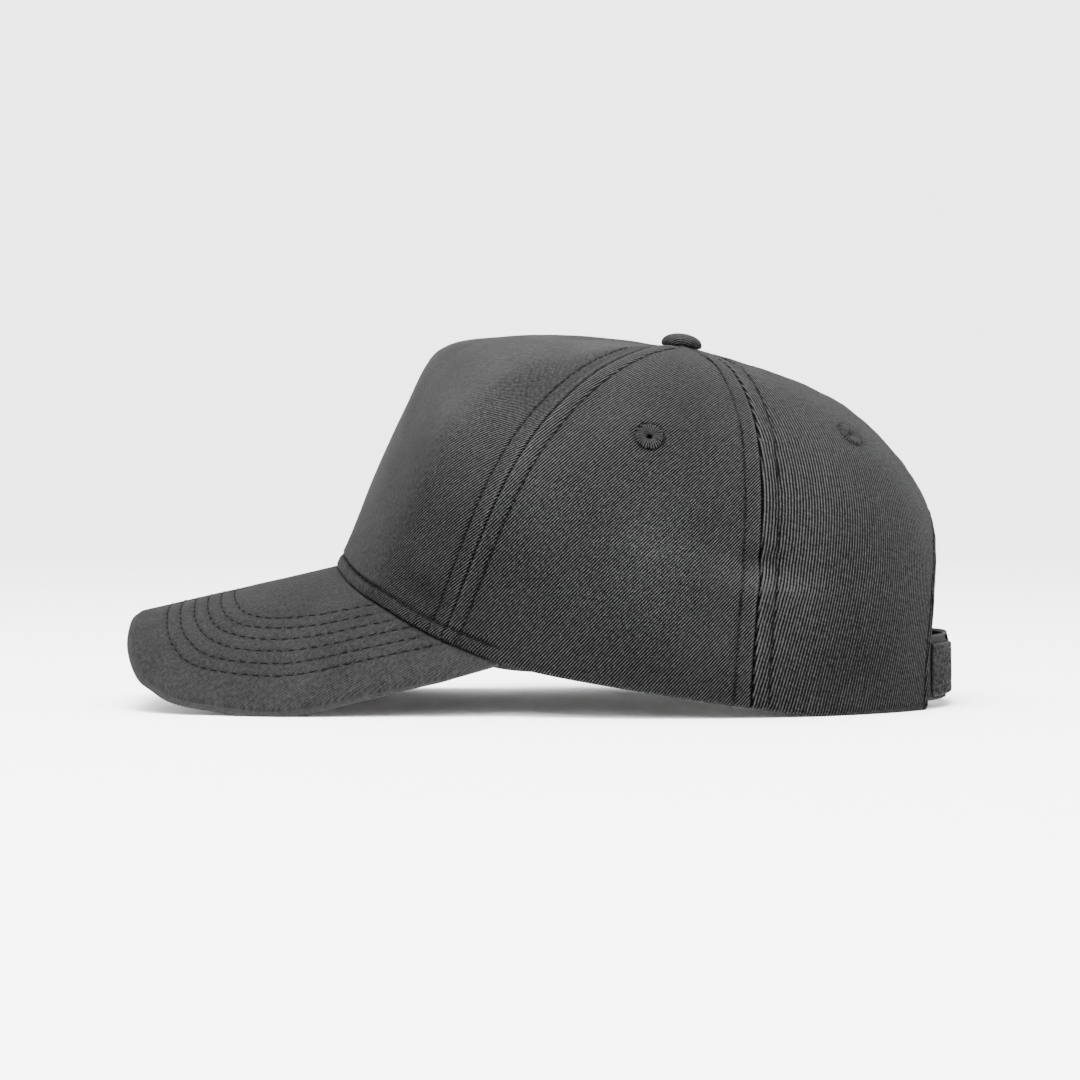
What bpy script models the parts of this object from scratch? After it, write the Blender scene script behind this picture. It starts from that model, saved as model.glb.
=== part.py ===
"""Five panel cap with a curved peak and a touch-and-close strap across its rear opening.

Metres, +Z up. The cap rests on z = 0. Its front faces -Y and the wearer's left is +X.
Bearings are degrees round the button's axis, 0 at the front and 90 at the wearer's left.
A share is the part of the way down the crown, 0 at the button and 1 at the rim.
"""
import math

import bmesh
import bpy
import numpy as np
from mathutils import Vector

# Crown
RIM_LENGTH = 0.2102
RIM_WIDTH = 0.154
APEX_SETBACK = 0.0128        # the button's axis stands this far behind the middle of the rim
CROWN_HEIGHT = 0.1213        # cloth under the button, above the table
FRONT_RIM_HEIGHT = 0.0470    # rim above the table where the peak's ridge meets it
FRONT_LEAN = 0.0326          # the front's top corner stands this far behind its foot
ROOF_SWELL = 0.00485         # arch of the roof between the button and the front's top corner
BACK_SWELL = 0.0050          # fullness of the back between the button and the opening
DENT_LENGTH = 0.015          # half of a usual dent, measured round the crown
DENT_HEIGHT = 0.006
DENT_DEPTH = 0.001
PANEL_WALL = 0.0016
CLEARANCE = 0.0003           # between pieces that are sewn or pressed together
BUTTON_HOLE_RADIUS = 0.003

# Peak
PEAK_LENGTH = 0.0693
PEAK_WIDTH = 0.139
PEAK_THICKNESS = 0.0028
PEAK_SLOPE = math.radians(12.9)
PEAK_END_BEARING = 48.0
PEAK_END_STEP = 0.0015       # the peak's ends stand this far out of the crown
PEAK_SETTLING = 0.03         # the peak takes its own curve within this distance of the rim
PEAK_END_THICKNESS = 0.0006
PEAK_THINNING = 15.0         # degrees of bearing over which its ends thin out under the rim

# Sweatband
BAND_HEIGHT = 0.028
BAND_WALL = 0.0012
BAND_END_GAP = 0.0012        # between the band's ends and the strap's sewn tabs
BAND_CLEARANCE = 0.0005      # from the panels' inner face, which it follows less closely

# Button
BUTTON_RADIUS = 0.00695
BUTTON_HEIGHT = 0.0046
BUTTON_TILT = math.radians(-7.0)
BACKING_RADIUS = 0.005
BACKING_THICKNESS = 0.001

# Eyelets
EYELET_RADIUS = 0.0043
EYELET_BORE_RADIUS = 0.0011
EYELET_PROUD = 0.0004        # the thread ring stands this far out of the cloth on either side
EYELETS = (
    # name, bearing, height above the table as a share of the crown's
    ("side", 78.5, 0.742),
    ("back", 149.0, 0.752),
)

# Rear opening and strap
OPENING_WIDTH = 0.072
OPENING_HEIGHT = 0.064
STRAP_WIDTH = 0.022
STRAP_THICKNESS = 0.0012
STRAP_RAISE = 0.0025         # lower edge of the strap above the rim
TAB_SEWN_LENGTH = 0.010      # stretch of each tab that lies inside its back panel
LOOP_TAB_REACH = 0.026       # past the middle of the opening
HOOK_TAB_REACH = -0.004      # stops short of the middle by this much
PILE_THICKNESS = 0.0008
PILE_BORDER = 0.003          # bare cloth above the pile
PILE_END_BORDER = 0.002

CROWN_SECTIONS = (
    # bearing, squareness in plan, squareness in rise, shares of the lean, roof swell and back swell
    (0, 24.0, 24.0, 1.0, 1.0, 0.0),
    (15, 9.0, 10.0, 0.84, 0.88, 0.0),
    (30, 4.2, 5.2, 0.42, 0.48, 0.0),
    (45, 2.7, 3.8, 0.12, 0.12, 0.0),
    (90, 2.3, 3.4, 0.0, 0.0, 0.0),
    (135, 1.4, 3.6, 0.0, 0.0, 0.5),
    (180, 1.1, 3.6, 0.0, 0.0, 1.0),
)
RIM_HEIGHTS = (
    # bearing, share of the rim's height at the front
    (0, 1.0),
    (18, 0.805),
    (36, 0.522),
    (52, 0.330),
    (80, 0.174),
    (104, 0.068),
    (124, 0.0),
    (180, 0.0),
)
SEAMS = {
    # bearing at the rim, bearing at the button, bend, easing
    "front": (36.4, 66.0, 1.0, 1.0),
    "back": (104.4, 119.5, 1.0, 1.4),
}
PEAK_OUTLINE = (
    # share of the half width, share of the way from the peak's ends to its tip
    (0.0, 1.0),
    (0.26, 0.998),
    (0.48, 0.987),
    (0.66, 0.953),
    (0.755, 0.907),
    (0.855, 0.823),
    (0.965, 0.627),
    (0.997, 0.507),
    (1.0, 0.355),
)
DENTS = (
    # bearing, share, and length, height and depth as shares of a usual dent's (below zero stands out)
    (107.5, 0.70, 0.6, 0.75, 1.0),
    (110.0, 0.76, 1.0, 0.83, -0.9),
    (31.0, 0.93, 0.8, 1.0, 0.8),
    (92.0, 0.72, 2.0, 1.0, -0.6),
)
PEAK_SLICE = (0.0, 0.08, 0.2, 0.4, 0.6, 0.8, 0.92, 1.0)   # shares of the way from the rim to the edge
PEAK_EDGE_ROUNDING = (
    # share of the edge's inset, share of the thickness
    (1.0, 0.0),
    (0.3, 0.15),
    (0.0, 0.5),
    (0.3, 0.85),
    (1.0, 1.0),
)
BUTTON_DOME = (-18.0, 90.0)  # the dome's outline turns from just under its widest ring to its top
BUTTON_FOOT = 0.9            # share of the button's radius that lies on the cloth
EYELET_BULGE = 0.25          # share of the ring's breadth that is rounded off on either side
TIP_ROUNDING = 0.32          # corner radius of a strap tab's end as a share of its width
TIP_STEPS = (0.6, 0.3, 0.1, 0.0)
REAR_SEAM_ROWS = 0.56        # share of a back panel's rows that lie above the opening
PANEL_ROWS = 21
FRONT_COLUMNS = 25
SIDE_COLUMNS = 15
PEAK_COLUMNS = 30
BAND_COLUMNS = 51
TAB_COLUMNS = 15
BUTTON_SEGMENTS = 20
EYELET_SEGMENTS = 12
HOLE_SEGMENTS = 16
CREST_CROWDING = 1.7         # how much closer rows lie at the front's top corner
CREST_WIDTH = 0.08           # shares to either side over which they do
ROOF_SWELL_START = 0.05      # share of the roof over which its arch begins, so that it starts level
PROFILE_STEPS = 90
SHARP_ANGLE = math.radians(40.0)


def clear_scene():
    for item in list(bpy.data.objects):
        bpy.data.objects.remove(item, do_unlink=True)


def column_curve(rows, column, bearing):
    """Values of a table's column at some bearings, on a smooth curve that never overshoots."""
    keys = np.array([float(row[0]) for row in rows])
    values = np.array([float(row[column]) for row in rows])
    steps = np.diff(values) / np.diff(keys)
    slopes = np.zeros(len(keys))
    for i in range(1, len(keys) - 1):
        if steps[i - 1] * steps[i] > 0:
            slopes[i] = 2 * steps[i - 1] * steps[i] / (steps[i - 1] + steps[i])
    folded = np.abs((np.asarray(bearing, float) + 180) % 360 - 180)
    i = np.clip(np.searchsorted(keys, folded, side="right") - 1, 0, len(keys) - 2)
    width = keys[i + 1] - keys[i]
    s = (folded - keys[i]) / width
    return ((2 * s**3 - 3 * s**2 + 1) * values[i] + (s**3 - 2 * s**2 + s) * width * slopes[i]
            + (3 * s**2 - 2 * s**3) * values[i + 1] + (s**3 - s**2) * width * slopes[i + 1])


def rim_reach(bearing):
    """Distance from the button's axis to the rim, an oval whose middle lies in front of the axis."""
    angle = np.radians(bearing)
    across, along = RIM_WIDTH / 2, RIM_LENGTH / 2
    a = (np.sin(angle) / across) ** 2 + (np.cos(angle) / along) ** 2
    b = -2 * np.cos(angle) * APEX_SETBACK / along**2
    c = (APEX_SETBACK / along) ** 2 - 1
    return (-b + np.sqrt(b * b - 4 * a * c)) / (2 * a)


def meridians(bearing):
    """Reach, height and length so far of the points down the crown, one row for each bearing."""
    bearing = np.asarray(bearing, float)[:, None]
    plan = column_curve(CROWN_SECTIONS, 1, bearing)
    rise = column_curve(CROWN_SECTIONS, 2, bearing)
    lean = FRONT_LEAN * column_curve(CROWN_SECTIONS, 3, bearing)
    swell = ROOF_SWELL * column_curve(CROWN_SECTIONS, 4, bearing)
    back_swell = BACK_SWELL * column_curve(CROWN_SECTIONS, 5, bearing)
    reach = rim_reach(bearing)
    foot = FRONT_RIM_HEIGHT * column_curve(RIM_HEIGHTS, 1, bearing)
    ramp = np.linspace(0, 1, PROFILE_STEPS)[None, :]
    roof_out = 0.5 ** (1 / plan) * ramp
    wall_up = 0.5 ** (1 / rise) * (1 - ramp[:, 1:])
    out = np.concatenate([roof_out, (1 - wall_up**rise) ** (1 / plan)], axis=1)
    up = np.concatenate([(1 - roof_out**plan) ** (1 / rise), wall_up], axis=1)
    r = out * (reach - lean * up)
    along_roof = np.minimum(1, r / (reach - lean))
    arch = along_roof * (1 - along_roof)
    swelling = 4 * swell * arch * along_roof / (along_roof + ROOF_SWELL_START)
    swelling = swelling + 27 / 4 * back_swell * arch * along_roof
    z = foot + (CROWN_HEIGHT - foot) * up + swelling
    lengths = np.cumsum(np.hypot(np.diff(r, axis=1), np.diff(z, axis=1)), axis=1)
    return r, z, np.concatenate([np.zeros((len(r), 1)), lengths], axis=1)


def meridian_length(bearing):
    return float(meridians([bearing])[2][0, -1])


def crown_face(bearing, share):
    """Points on the crown's outer face, before dents. A share above 1 hangs straight below the rim."""
    bearing, share = np.asarray(bearing, float), np.asarray(share, float)
    r, z, length = meridians(bearing)
    target = np.minimum(share, 1.0) * length[:, -1]
    i = np.clip((length <= target[:, None]).sum(axis=1) - 1, 0, length.shape[1] - 2)
    row = np.arange(len(i))
    part = (target - length[row, i]) / (length[row, i + 1] - length[row, i])
    reach = r[row, i] + (r[row, i + 1] - r[row, i]) * part
    height = z[row, i] + (z[row, i + 1] - z[row, i]) * part
    height -= np.maximum(share - 1.0, 0.0) * length[:, -1]
    angle = np.radians(bearing)
    return np.stack([reach * np.sin(angle), -reach * np.cos(angle), height], axis=1)


def crown_normals(bearing, share):
    """Unit vectors out of the crown, turned level at the rim so that the cloth's edge lies flat."""
    bearing, share = np.asarray(bearing, float), np.asarray(share, float)
    turn, step = 0.4, 0.004
    across = crown_face(bearing + turn, share) - crown_face(bearing - turn, share)
    down = crown_face(bearing, share + step) - crown_face(bearing, share - step)
    normal = np.cross(down, across)
    normal /= np.linalg.norm(normal, axis=1)[:, None]
    normal[:, 2] *= np.clip((1 - share) / 0.06, 0, 1)
    return normal / np.linalg.norm(normal, axis=1)[:, None]


def dent_depth(bearing, share):
    depth = np.zeros(len(bearing))
    for at, down, long, high, deep in DENTS:
        reach = rim_reach(np.array([at]))[0]
        across = np.radians(np.abs(bearing) - at) * reach / (long * DENT_LENGTH)
        along = (share - down) * meridian_length(at) / (high * DENT_HEIGHT)
        depth += deep * DENT_DEPTH * np.exp(-across**2 - along**2)
    return depth


def crown_points(bearing, share, depth):
    """Points inside the cloth, this deep below the crown's outer face."""
    bearing, share = np.asarray(bearing, float), np.asarray(share, float)
    depth = np.broadcast_to(depth, share.shape) + dent_depth(bearing, share)
    return crown_face(bearing, share) - crown_normals(bearing, share) * depth[:, None]


def seam_bearing(name, share):
    at_rim, at_button, bend, easing = SEAMS[name]
    return at_rim + (at_button - at_rim) * (1 - share**bend) ** easing


def share_at_height(bearing, height):
    """Share at which the crown's wall passes a height."""
    r, z, length = meridians([bearing])
    top = int(np.argmax(z[0]))
    return float(np.interp(-height, -z[0, top:], length[0, top:]) / length[0, -1])


def bearing_at_lateral(lateral, height):
    """Bearing at the back of the crown where it is this far to the wearer's left."""
    bearing = 170.0
    for _ in range(12):
        share = share_at_height(bearing, height)
        reach = np.linalg.norm(crown_face([bearing], [share])[0, :2])
        bearing = 180.0 - math.degrees(math.asin(lateral / reach))
    return bearing


def new_object(name, mesh, material, parent):
    item = bpy.data.objects.new(name, mesh)
    item.data.materials.append(material)
    item.parent = parent
    bpy.context.scene.collection.objects.link(item)
    return item


def new_material(name, colour, roughness):
    material = bpy.data.materials.new(name)
    material.use_nodes = True
    shader = material.node_tree.nodes["Principled BSDF"]
    shader.inputs["Base Color"].default_value = (*colour, 1.0)
    shader.inputs["Roughness"].default_value = roughness
    shader.inputs["Metallic"].default_value = 0.0
    return material


def skinned_mesh(name, loops, end_faces=(), wrapped=False):
    """Skin a row of equal closed loops. Each end face lists places in the first and the last loop."""
    work = bmesh.new()
    rings = [[work.verts.new(point) for point in loop] for loop in loops]
    count = len(rings[0])
    for i in range(len(rings) if wrapped else len(rings) - 1):
        near, far = rings[i], rings[(i + 1) % len(rings)]
        for k in range(count):
            m = (k + 1) % count
            work.faces.new((near[k], near[m], far[m], far[k]))
    for corners in end_faces:
        work.faces.new([rings[0][k] for k in corners])
        work.faces.new([rings[-1][k] for k in reversed(corners)])
    bmesh.ops.remove_doubles(work, verts=work.verts, dist=0.00001)
    bmesh.ops.recalc_face_normals(work, faces=work.faces)
    mesh = bpy.data.meshes.new(name)
    work.to_mesh(mesh)
    work.free()
    mesh.shade_smooth()
    mesh.set_sharp_from_angle(angle=SHARP_ANGLE)
    return mesh


def shell(name, bearing, share, outer_depth, wall):
    """Closed shell between two depths, from grids of bearings and shares (rows by columns)."""
    shape = bearing.shape
    depth = np.broadcast_to(outer_depth, shape).ravel()
    outer = crown_points(bearing.ravel(), share.ravel(), depth).reshape(*shape, 3)
    inner = crown_points(bearing.ravel(), share.ravel(), depth + wall).reshape(*shape, 3)
    loops = [np.concatenate([outer[:, j], inner[::-1, j]]) for j in range(shape[1])]
    count = 2 * shape[0]
    end_faces = [(i, i + 1, count - 2 - i, count - 1 - i) for i in range(shape[0] - 1)]
    return skinned_mesh(name, loops, end_faces)


def row_shares(count):
    """Shares of the rows down every panel, closer together at the front's top corner."""
    fine = np.linspace(0, 1, 400)
    corner = share_at_height(0.0, FRONT_RIM_HEIGHT + 0.9 * (CROWN_HEIGHT - FRONT_RIM_HEIGHT))
    density = 1 + CREST_CROWDING * np.exp(-((fine - corner) / CREST_WIDTH) ** 2)
    travel = np.cumsum(density)
    travel = (travel - travel[0]) / (travel[-1] - travel[0])
    return np.interp(np.linspace(0, 1, count), travel, fine)


def panel_rows(bearing_count, left, right):
    """Grids of bearings and shares between two edges, each a list of (bearing, share)."""
    left, right = np.array(left), np.array(right)
    mix = np.linspace(0, 1, bearing_count)[None, :]
    bearing = left[:, :1] * (1 - mix) + right[:, :1] * mix
    share = left[:, 1:] * (1 - mix) + right[:, 1:] * mix
    return bearing, share


def seam_edge(name, side, shares, sign):
    """Panel edge along a seam: side is +1 where the panel lies past the seam's bearing."""
    edge = []
    for share in shares:
        start = BUTTON_HOLE_RADIUS / meridian_length(seam_bearing(name, 0.0))
        down = start + (1 - start) * share
        bearing = seam_bearing(name, down)
        reach = np.linalg.norm(crown_face([bearing], [down])[0, :2])
        edge.append((sign * (bearing + side * math.degrees(CLEARANCE / 2 / reach)), down))
    return edge


def rear_edge(shares, sign):
    """Panel edge down the rear seam and then round the opening's arch to the rim."""
    start = BUTTON_HOLE_RADIUS / meridian_length(180.0)
    arch_top = share_at_height(180.0, OPENING_HEIGHT)
    on_seam = int(len(shares) * REAR_SEAM_ROWS)
    edge = []
    for i in range(on_seam):
        down = start + (arch_top - start) * i / (on_seam - 1)
        reach = np.linalg.norm(crown_face([180.0], [down])[0, :2])
        edge.append((sign * (180.0 - math.degrees(CLEARANCE / 2 / reach)), down))
    on_arch = len(shares) - on_seam
    for i in range(1, on_arch + 1):
        turn = math.pi / 2 * (1 - i / on_arch)
        height = OPENING_HEIGHT * math.sin(turn)
        bearing = bearing_at_lateral(OPENING_WIDTH / 2 * math.cos(turn), height)
        down = share_at_height(bearing, height) if i < on_arch else 1.0
        edge.append((sign * bearing, down))
    return edge


def cut_eyelet_hole(panel, eyelet, sign, parent, material):
    """Bore the panel for its eyelet with a round cutter along the cloth's normal."""
    place, facing = eyelet_place(eyelet, sign)
    work = bmesh.new()
    radius = EYELET_RADIUS + CLEARANCE
    bmesh.ops.create_cone(work, cap_ends=True, segments=HOLE_SEGMENTS, radius1=radius, radius2=radius,
                          depth=8 * PANEL_WALL)
    mesh = bpy.data.meshes.new(f"cutter_{panel.name}")
    work.to_mesh(mesh)
    work.free()
    cutter = new_object(mesh.name, mesh, material, parent)
    cutter.location = place
    cutter.rotation_euler = facing
    cutter.hide_render = True
    cutter.display_type = "WIRE"
    hole = panel.modifiers.new("eyelet hole", "BOOLEAN")
    hole.operation = "DIFFERENCE"
    hole.solver = "EXACT"
    hole.object = cutter


def eyelet_place(eyelet, sign):
    """Middle of the cloth at an eyelet, and the turn that points local Z out of the cloth."""
    bearing, height = eyelet[1:]
    share = share_at_height(bearing, height * CROWN_HEIGHT)
    point = crown_points([sign * bearing], [share], PANEL_WALL / 2)[0]
    normal = Vector(crown_normals([sign * bearing], [share])[0])
    return tuple(point), normal.to_track_quat("Z", "Y").to_euler()


def lathe_mesh(name, profile, segments):
    """Turn a closed outline of (radius, height) points round Z."""
    loops = []
    for i in range(segments):
        angle = 2 * math.pi * i / segments
        loops.append([(r * math.cos(angle), r * math.sin(angle), z) for r, z in profile])
    return skinned_mesh(name, loops, wrapped=True)


def make_panels(parent, cloth):
    shares = row_shares(PANEL_ROWS)
    right, left = (seam_edge("front", -1, shares, sign) for sign in (-1, 1))
    bearing, share = panel_rows(FRONT_COLUMNS, right, left)
    new_object("front_panel", shell("front_panel", bearing, share, 0.0, PANEL_WALL), cloth, parent)
    for side_name, sign in (("left", 1), ("right", -1)):
        front = seam_edge("front", 1, shares, sign)
        back = seam_edge("back", -1, shares, sign)
        bearing, share = panel_rows(SIDE_COLUMNS, front, back)
        name = f"side_panel_{side_name}"
        side = new_object(name, shell(name, bearing, share, 0.0, PANEL_WALL), cloth, parent)
        cut_eyelet_hole(side, EYELETS[0], sign, parent, cloth)
        front, back = seam_edge("back", 1, shares, sign), rear_edge(shares, sign)
        bearing, share = panel_rows(SIDE_COLUMNS, front, back)
        name = f"back_panel_{side_name}"
        back_panel = new_object(name, shell(name, bearing, share, 0.0, PANEL_WALL), cloth, parent)
        cut_eyelet_hole(back_panel, EYELETS[1], sign, parent, cloth)


def peak_outer_edge():
    """Plan of the peak's outer edge from its right end to its left end, as (x, y) points."""
    end_reach = float(rim_reach(np.array([PEAK_END_BEARING]))[0])
    end_angle = math.radians(PEAK_END_BEARING)
    end = (end_reach * math.sin(end_angle), -end_reach * math.cos(end_angle))
    tip = -float(rim_reach(np.array([0.0]))[0]) - PEAK_LENGTH
    left = [(PEAK_WIDTH / 2 * across, end[1] + (tip - end[1]) * forward)
            for across, forward in PEAK_OUTLINE]
    left.append((end[0] + PEAK_END_STEP, end[1]))
    outline = [(-x, y) for x, y in reversed(left)] + left[1:]
    return evenly_spaced(outline, PEAK_COLUMNS + 1)


def evenly_spaced(points, count):
    """Points at equal steps along a smooth curve through the given points."""
    points = np.array(points)
    before = np.vstack([2 * points[0] - points[1], points[:-1]])
    after = np.vstack([points[1:], 2 * points[-1] - points[-2]])
    fine = []
    for i in range(len(points) - 1):
        start, end = points[i], points[i + 1]
        leave = (after[i] - before[i]) / 2
        arrive = (after[i + 1] - before[i + 1]) / 2
        for s in np.linspace(0, 1, 24, endpoint=False):
            fine.append((2 * s**3 - 3 * s**2 + 1) * start + (s**3 - 2 * s**2 + s) * leave
                        + (3 * s**2 - 2 * s**3) * end + (s**3 - s**2) * arrive)
    fine.append(points[-1])
    fine = np.array(fine)
    travel = np.concatenate([[0], np.cumsum(np.linalg.norm(np.diff(fine, axis=0), axis=1))])
    wanted = np.linspace(0, travel[-1], count)
    return np.stack([np.interp(wanted, travel, fine[:, k]) for k in range(2)], axis=1)


def peak_height(x, y, droop):
    """Top face of the peak: a ridge that slopes down forwards, drooping to either side."""
    front = -float(rim_reach(np.array([0.0]))[0])
    return FRONT_RIM_HEIGHT - CLEARANCE + math.tan(PEAK_SLOPE) * (y - front) - droop * x * x


def peak_slices(droop):
    """Closed slices of the peak, each from inside the rim out to the edge and back beneath."""
    slices = []
    for i, (x_edge, y_edge) in enumerate(peak_outer_edge()):
        bearing = PEAK_END_BEARING * (2 * i / PEAK_COLUMNS - 1)
        rim, root = crown_points([bearing, bearing], [1.0, 1.0], [0.0, PANEL_WALL])
        lift = rim[2] - CLEARANCE - peak_height(rim[0], rim[1], droop)
        run = math.hypot(x_edge - rim[0], y_edge - rim[1])
        top = [Vector((root[0], root[1], root[2] - CLEARANCE))]
        for step in PEAK_SLICE:
            x = rim[0] + (x_edge - rim[0]) * step
            y = rim[1] + (y_edge - rim[1]) * step
            faded = max(0.0, 1 - step * run / PEAK_SETTLING) ** 2
            top.append(Vector((x, y, peak_height(x, y, droop) + lift * faded)))
        steps_out = [math.hypot(p.x - rim[0], p.y - rim[1]) for p in top]
        steps_out[0] = 0.0
        to_end = min(1.0, (PEAK_END_BEARING - abs(bearing)) / PEAK_THINNING)
        thickness = PEAK_END_THICKNESS + (PEAK_THICKNESS - PEAK_END_THICKNESS) * to_end
        through = [peak_wall(p, out, droop) * thickness for p, out in zip(top, steps_out)]
        inset = (top[-1] - top[-3]).normalized() * min(PEAK_THICKNESS / 2, 0.4 * run)
        edge = [top[-1] - inset * back + through[-1] * down for back, down in PEAK_EDGE_ROUNDING]
        under = [p + wall for p, wall in zip(top[:-1], through[:-1])]
        slices.append([tuple(p) for p in top[:-1] + edge + under[::-1]])
    return slices


def peak_wall(point, distance, droop):
    """Direction from the peak's top face to its underside: upright at the rim, square to it beyond."""
    normal = Vector((2 * droop * point.x, -math.tan(PEAK_SLOPE), 1.0)).normalized()
    square = min(1.0, distance / (3 * PEAK_THICKNESS))
    return -(normal * square + Vector((0, 0, 1 / normal.z)) * (1 - square))


def settled_droop():
    """Sideways droop that just brings the peak's edges down to the table."""
    low, high = 2.0, 16.0
    for _ in range(26):
        droop = (low + high) / 2
        lowest = min(point[2] for loop in peak_slices(droop) for point in loop)
        low, high = (droop, high) if lowest > 0 else (low, droop)
    return low


def make_peak(parent, cloth):
    slices = peak_slices(settled_droop())
    new_object("peak", skinned_mesh("peak", slices, [tuple(range(len(slices[0])))]), cloth, parent)


def make_sweatband(parent, cloth):
    """Band inside the rim, its lower edge level with the peak's underside at the front."""
    end = strap_bearing(OPENING_WIDTH / 2 + TAB_SEWN_LENGTH + BAND_END_GAP)
    bearings = np.linspace(-end, end, BAND_COLUMNS)
    lengths = np.array([meridian_length(b) for b in bearings])
    under_peak = CLEARANCE + PEAK_THICKNESS
    drop = np.interp(np.abs(bearings), [PEAK_END_BEARING - 4, PEAK_END_BEARING + 8], [under_peak, -CLEARANCE])
    low = 1 + drop / lengths
    high = 1 - (BAND_HEIGHT - drop) / lengths
    steps = np.linspace(0, 1, 4)[:, None]
    share = high[None, :] * (1 - steps) + low[None, :] * steps
    bearing = np.broadcast_to(bearings[None, :], share.shape)
    mesh = shell("sweatband", bearing, share, PANEL_WALL + BAND_CLEARANCE, BAND_WALL)
    new_object("sweatband", mesh, cloth, parent)


def make_button(parent, cloth):
    """Covered button: a dome outside, a stem through the crown and a backing disc inside."""
    stem = BUTTON_HOLE_RADIUS - CLEARANCE
    backing_top = -(PANEL_WALL + 3 * CLEARANCE)
    foot = BUTTON_RADIUS * BUTTON_FOOT
    profile = [(0.0, backing_top - BACKING_THICKNESS), (BACKING_RADIUS, backing_top - BACKING_THICKNESS),
               (BACKING_RADIUS, backing_top), (stem, backing_top), (stem, 0.0), (foot, 0.0)]
    turns = np.radians(np.linspace(*BUTTON_DOME, 9))
    lowest = math.sin(turns[0])
    for turn in turns[:-1]:
        height = BUTTON_HEIGHT * (math.sin(turn) - lowest) / (1 - lowest)
        profile.append((BUTTON_RADIUS * math.cos(turn), max(height, CLEARANCE / 10)))
    profile.append((0.0, BUTTON_HEIGHT))
    mesh = lathe_mesh("top_button", profile, BUTTON_SEGMENTS)
    item = new_object("top_button", mesh, cloth, parent)
    item.location = (0.0, 0.0, CROWN_HEIGHT + CLEARANCE)
    item.rotation_euler = (BUTTON_TILT, 0.0, 0.0)


def make_eyelets(parent, thread):
    half = PANEL_WALL / 2 + EYELET_PROUD
    bulge = (EYELET_RADIUS - EYELET_BORE_RADIUS) * EYELET_BULGE
    profile = [(EYELET_RADIUS, -PANEL_WALL / 2), (EYELET_RADIUS, PANEL_WALL / 2),
               (EYELET_RADIUS - bulge, half), (EYELET_BORE_RADIUS + bulge, half),
               (EYELET_BORE_RADIUS, PANEL_WALL / 2), (EYELET_BORE_RADIUS, -PANEL_WALL / 2),
               (EYELET_BORE_RADIUS + bulge, -half), (EYELET_RADIUS - bulge, -half)]
    for eyelet in EYELETS:
        for side_name, sign in (("left", 1), ("right", -1)):
            name = f"eyelet_{eyelet[0]}_{side_name}"
            item = new_object(name, lathe_mesh(name, profile, EYELET_SEGMENTS), thread, parent)
            item.location, item.rotation_euler = eyelet_place(eyelet, sign)


def strap_bearing(lateral):
    """Bearing of a place on the strap, by its distance to the wearer's left of the middle."""
    side = math.copysign(1.0, lateral)
    return side * bearing_at_lateral(abs(lateral), STRAP_RAISE + STRAP_WIDTH / 2)


def strap_shell(name, laterals, low, high, depth, wall, tip_round):
    """Strip that follows the back of the crown between two heights, with a rounded last end."""
    bearings = np.unwrap([strap_bearing(x) for x in laterals], period=360)
    lengths = np.array([meridian_length(b) for b in bearings])
    to_tip = np.abs(np.array(laterals) - laterals[-1])
    pull = np.array([tip_round * (1 - math.sqrt(1 - (1 - min(1.0, d / tip_round)) ** 2)) for d in to_tip])
    bottom = 1 - (low + pull) / lengths
    top = 1 - (high - pull) / lengths
    steps = np.linspace(0, 1, 3)[:, None]
    share = top[None, :] * (1 - steps) + bottom[None, :] * steps
    bearing = np.broadcast_to(bearings[None, :], share.shape)
    return shell(name, bearing, share, np.broadcast_to(depth, share.shape), wall)


def tab_laterals(root, tip, tip_round):
    """Places along a tab from its sewn root to its rounded tip."""
    toward = math.copysign(1.0, root - tip)
    straight = np.linspace(root, tip + toward * tip_round, TAB_COLUMNS)
    return [*straight, *(tip + toward * tip_round * step for step in TIP_STEPS)]


def make_strap(parent, cloth, pile):
    """Left tab with its loop pile, and the right tab that lies over the pile's far end."""
    low, high = STRAP_RAISE, STRAP_RAISE + STRAP_WIDTH
    opening_edge = OPENING_WIDTH / 2 * math.sqrt(1 - (high / OPENING_HEIGHT) ** 2)
    root = OPENING_WIDTH / 2 + TAB_SEWN_LENGTH
    tip_round = STRAP_WIDTH * TIP_ROUNDING
    tab_depth = PANEL_WALL + CLEARANCE
    laterals = tab_laterals(root, -LOOP_TAB_REACH, tip_round)
    mesh = strap_shell("closure_loop_tab", laterals, low, high, tab_depth, STRAP_THICKNESS, tip_round)
    new_object("closure_loop_tab", mesh, cloth, parent)

    pile_depth = tab_depth - CLEARANCE - PILE_THICKNESS
    pile_round = tip_round - PILE_END_BORDER
    laterals = tab_laterals(opening_edge - PILE_END_BORDER, PILE_END_BORDER - LOOP_TAB_REACH, pile_round)
    mesh = strap_shell("closure_loop_patch", laterals, low + PILE_BORDER / 2, high - PILE_BORDER,
                       pile_depth, PILE_THICKNESS, pile_round)
    new_object("closure_loop_patch", mesh, pile, parent)

    over_pile = pile_depth - CLEARANCE - STRAP_THICKNESS
    laterals = tab_laterals(-root, HOOK_TAB_REACH, tip_round)
    depth = np.interp(np.negative(laterals), [LOOP_TAB_REACH + 2 * CLEARANCE, opening_edge],
                      [over_pile, tab_depth])
    mesh = strap_shell("closure_hook_tab", laterals, low, high, depth, STRAP_THICKNESS, tip_round)
    new_object("closure_hook_tab", mesh, cloth, parent)


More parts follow.
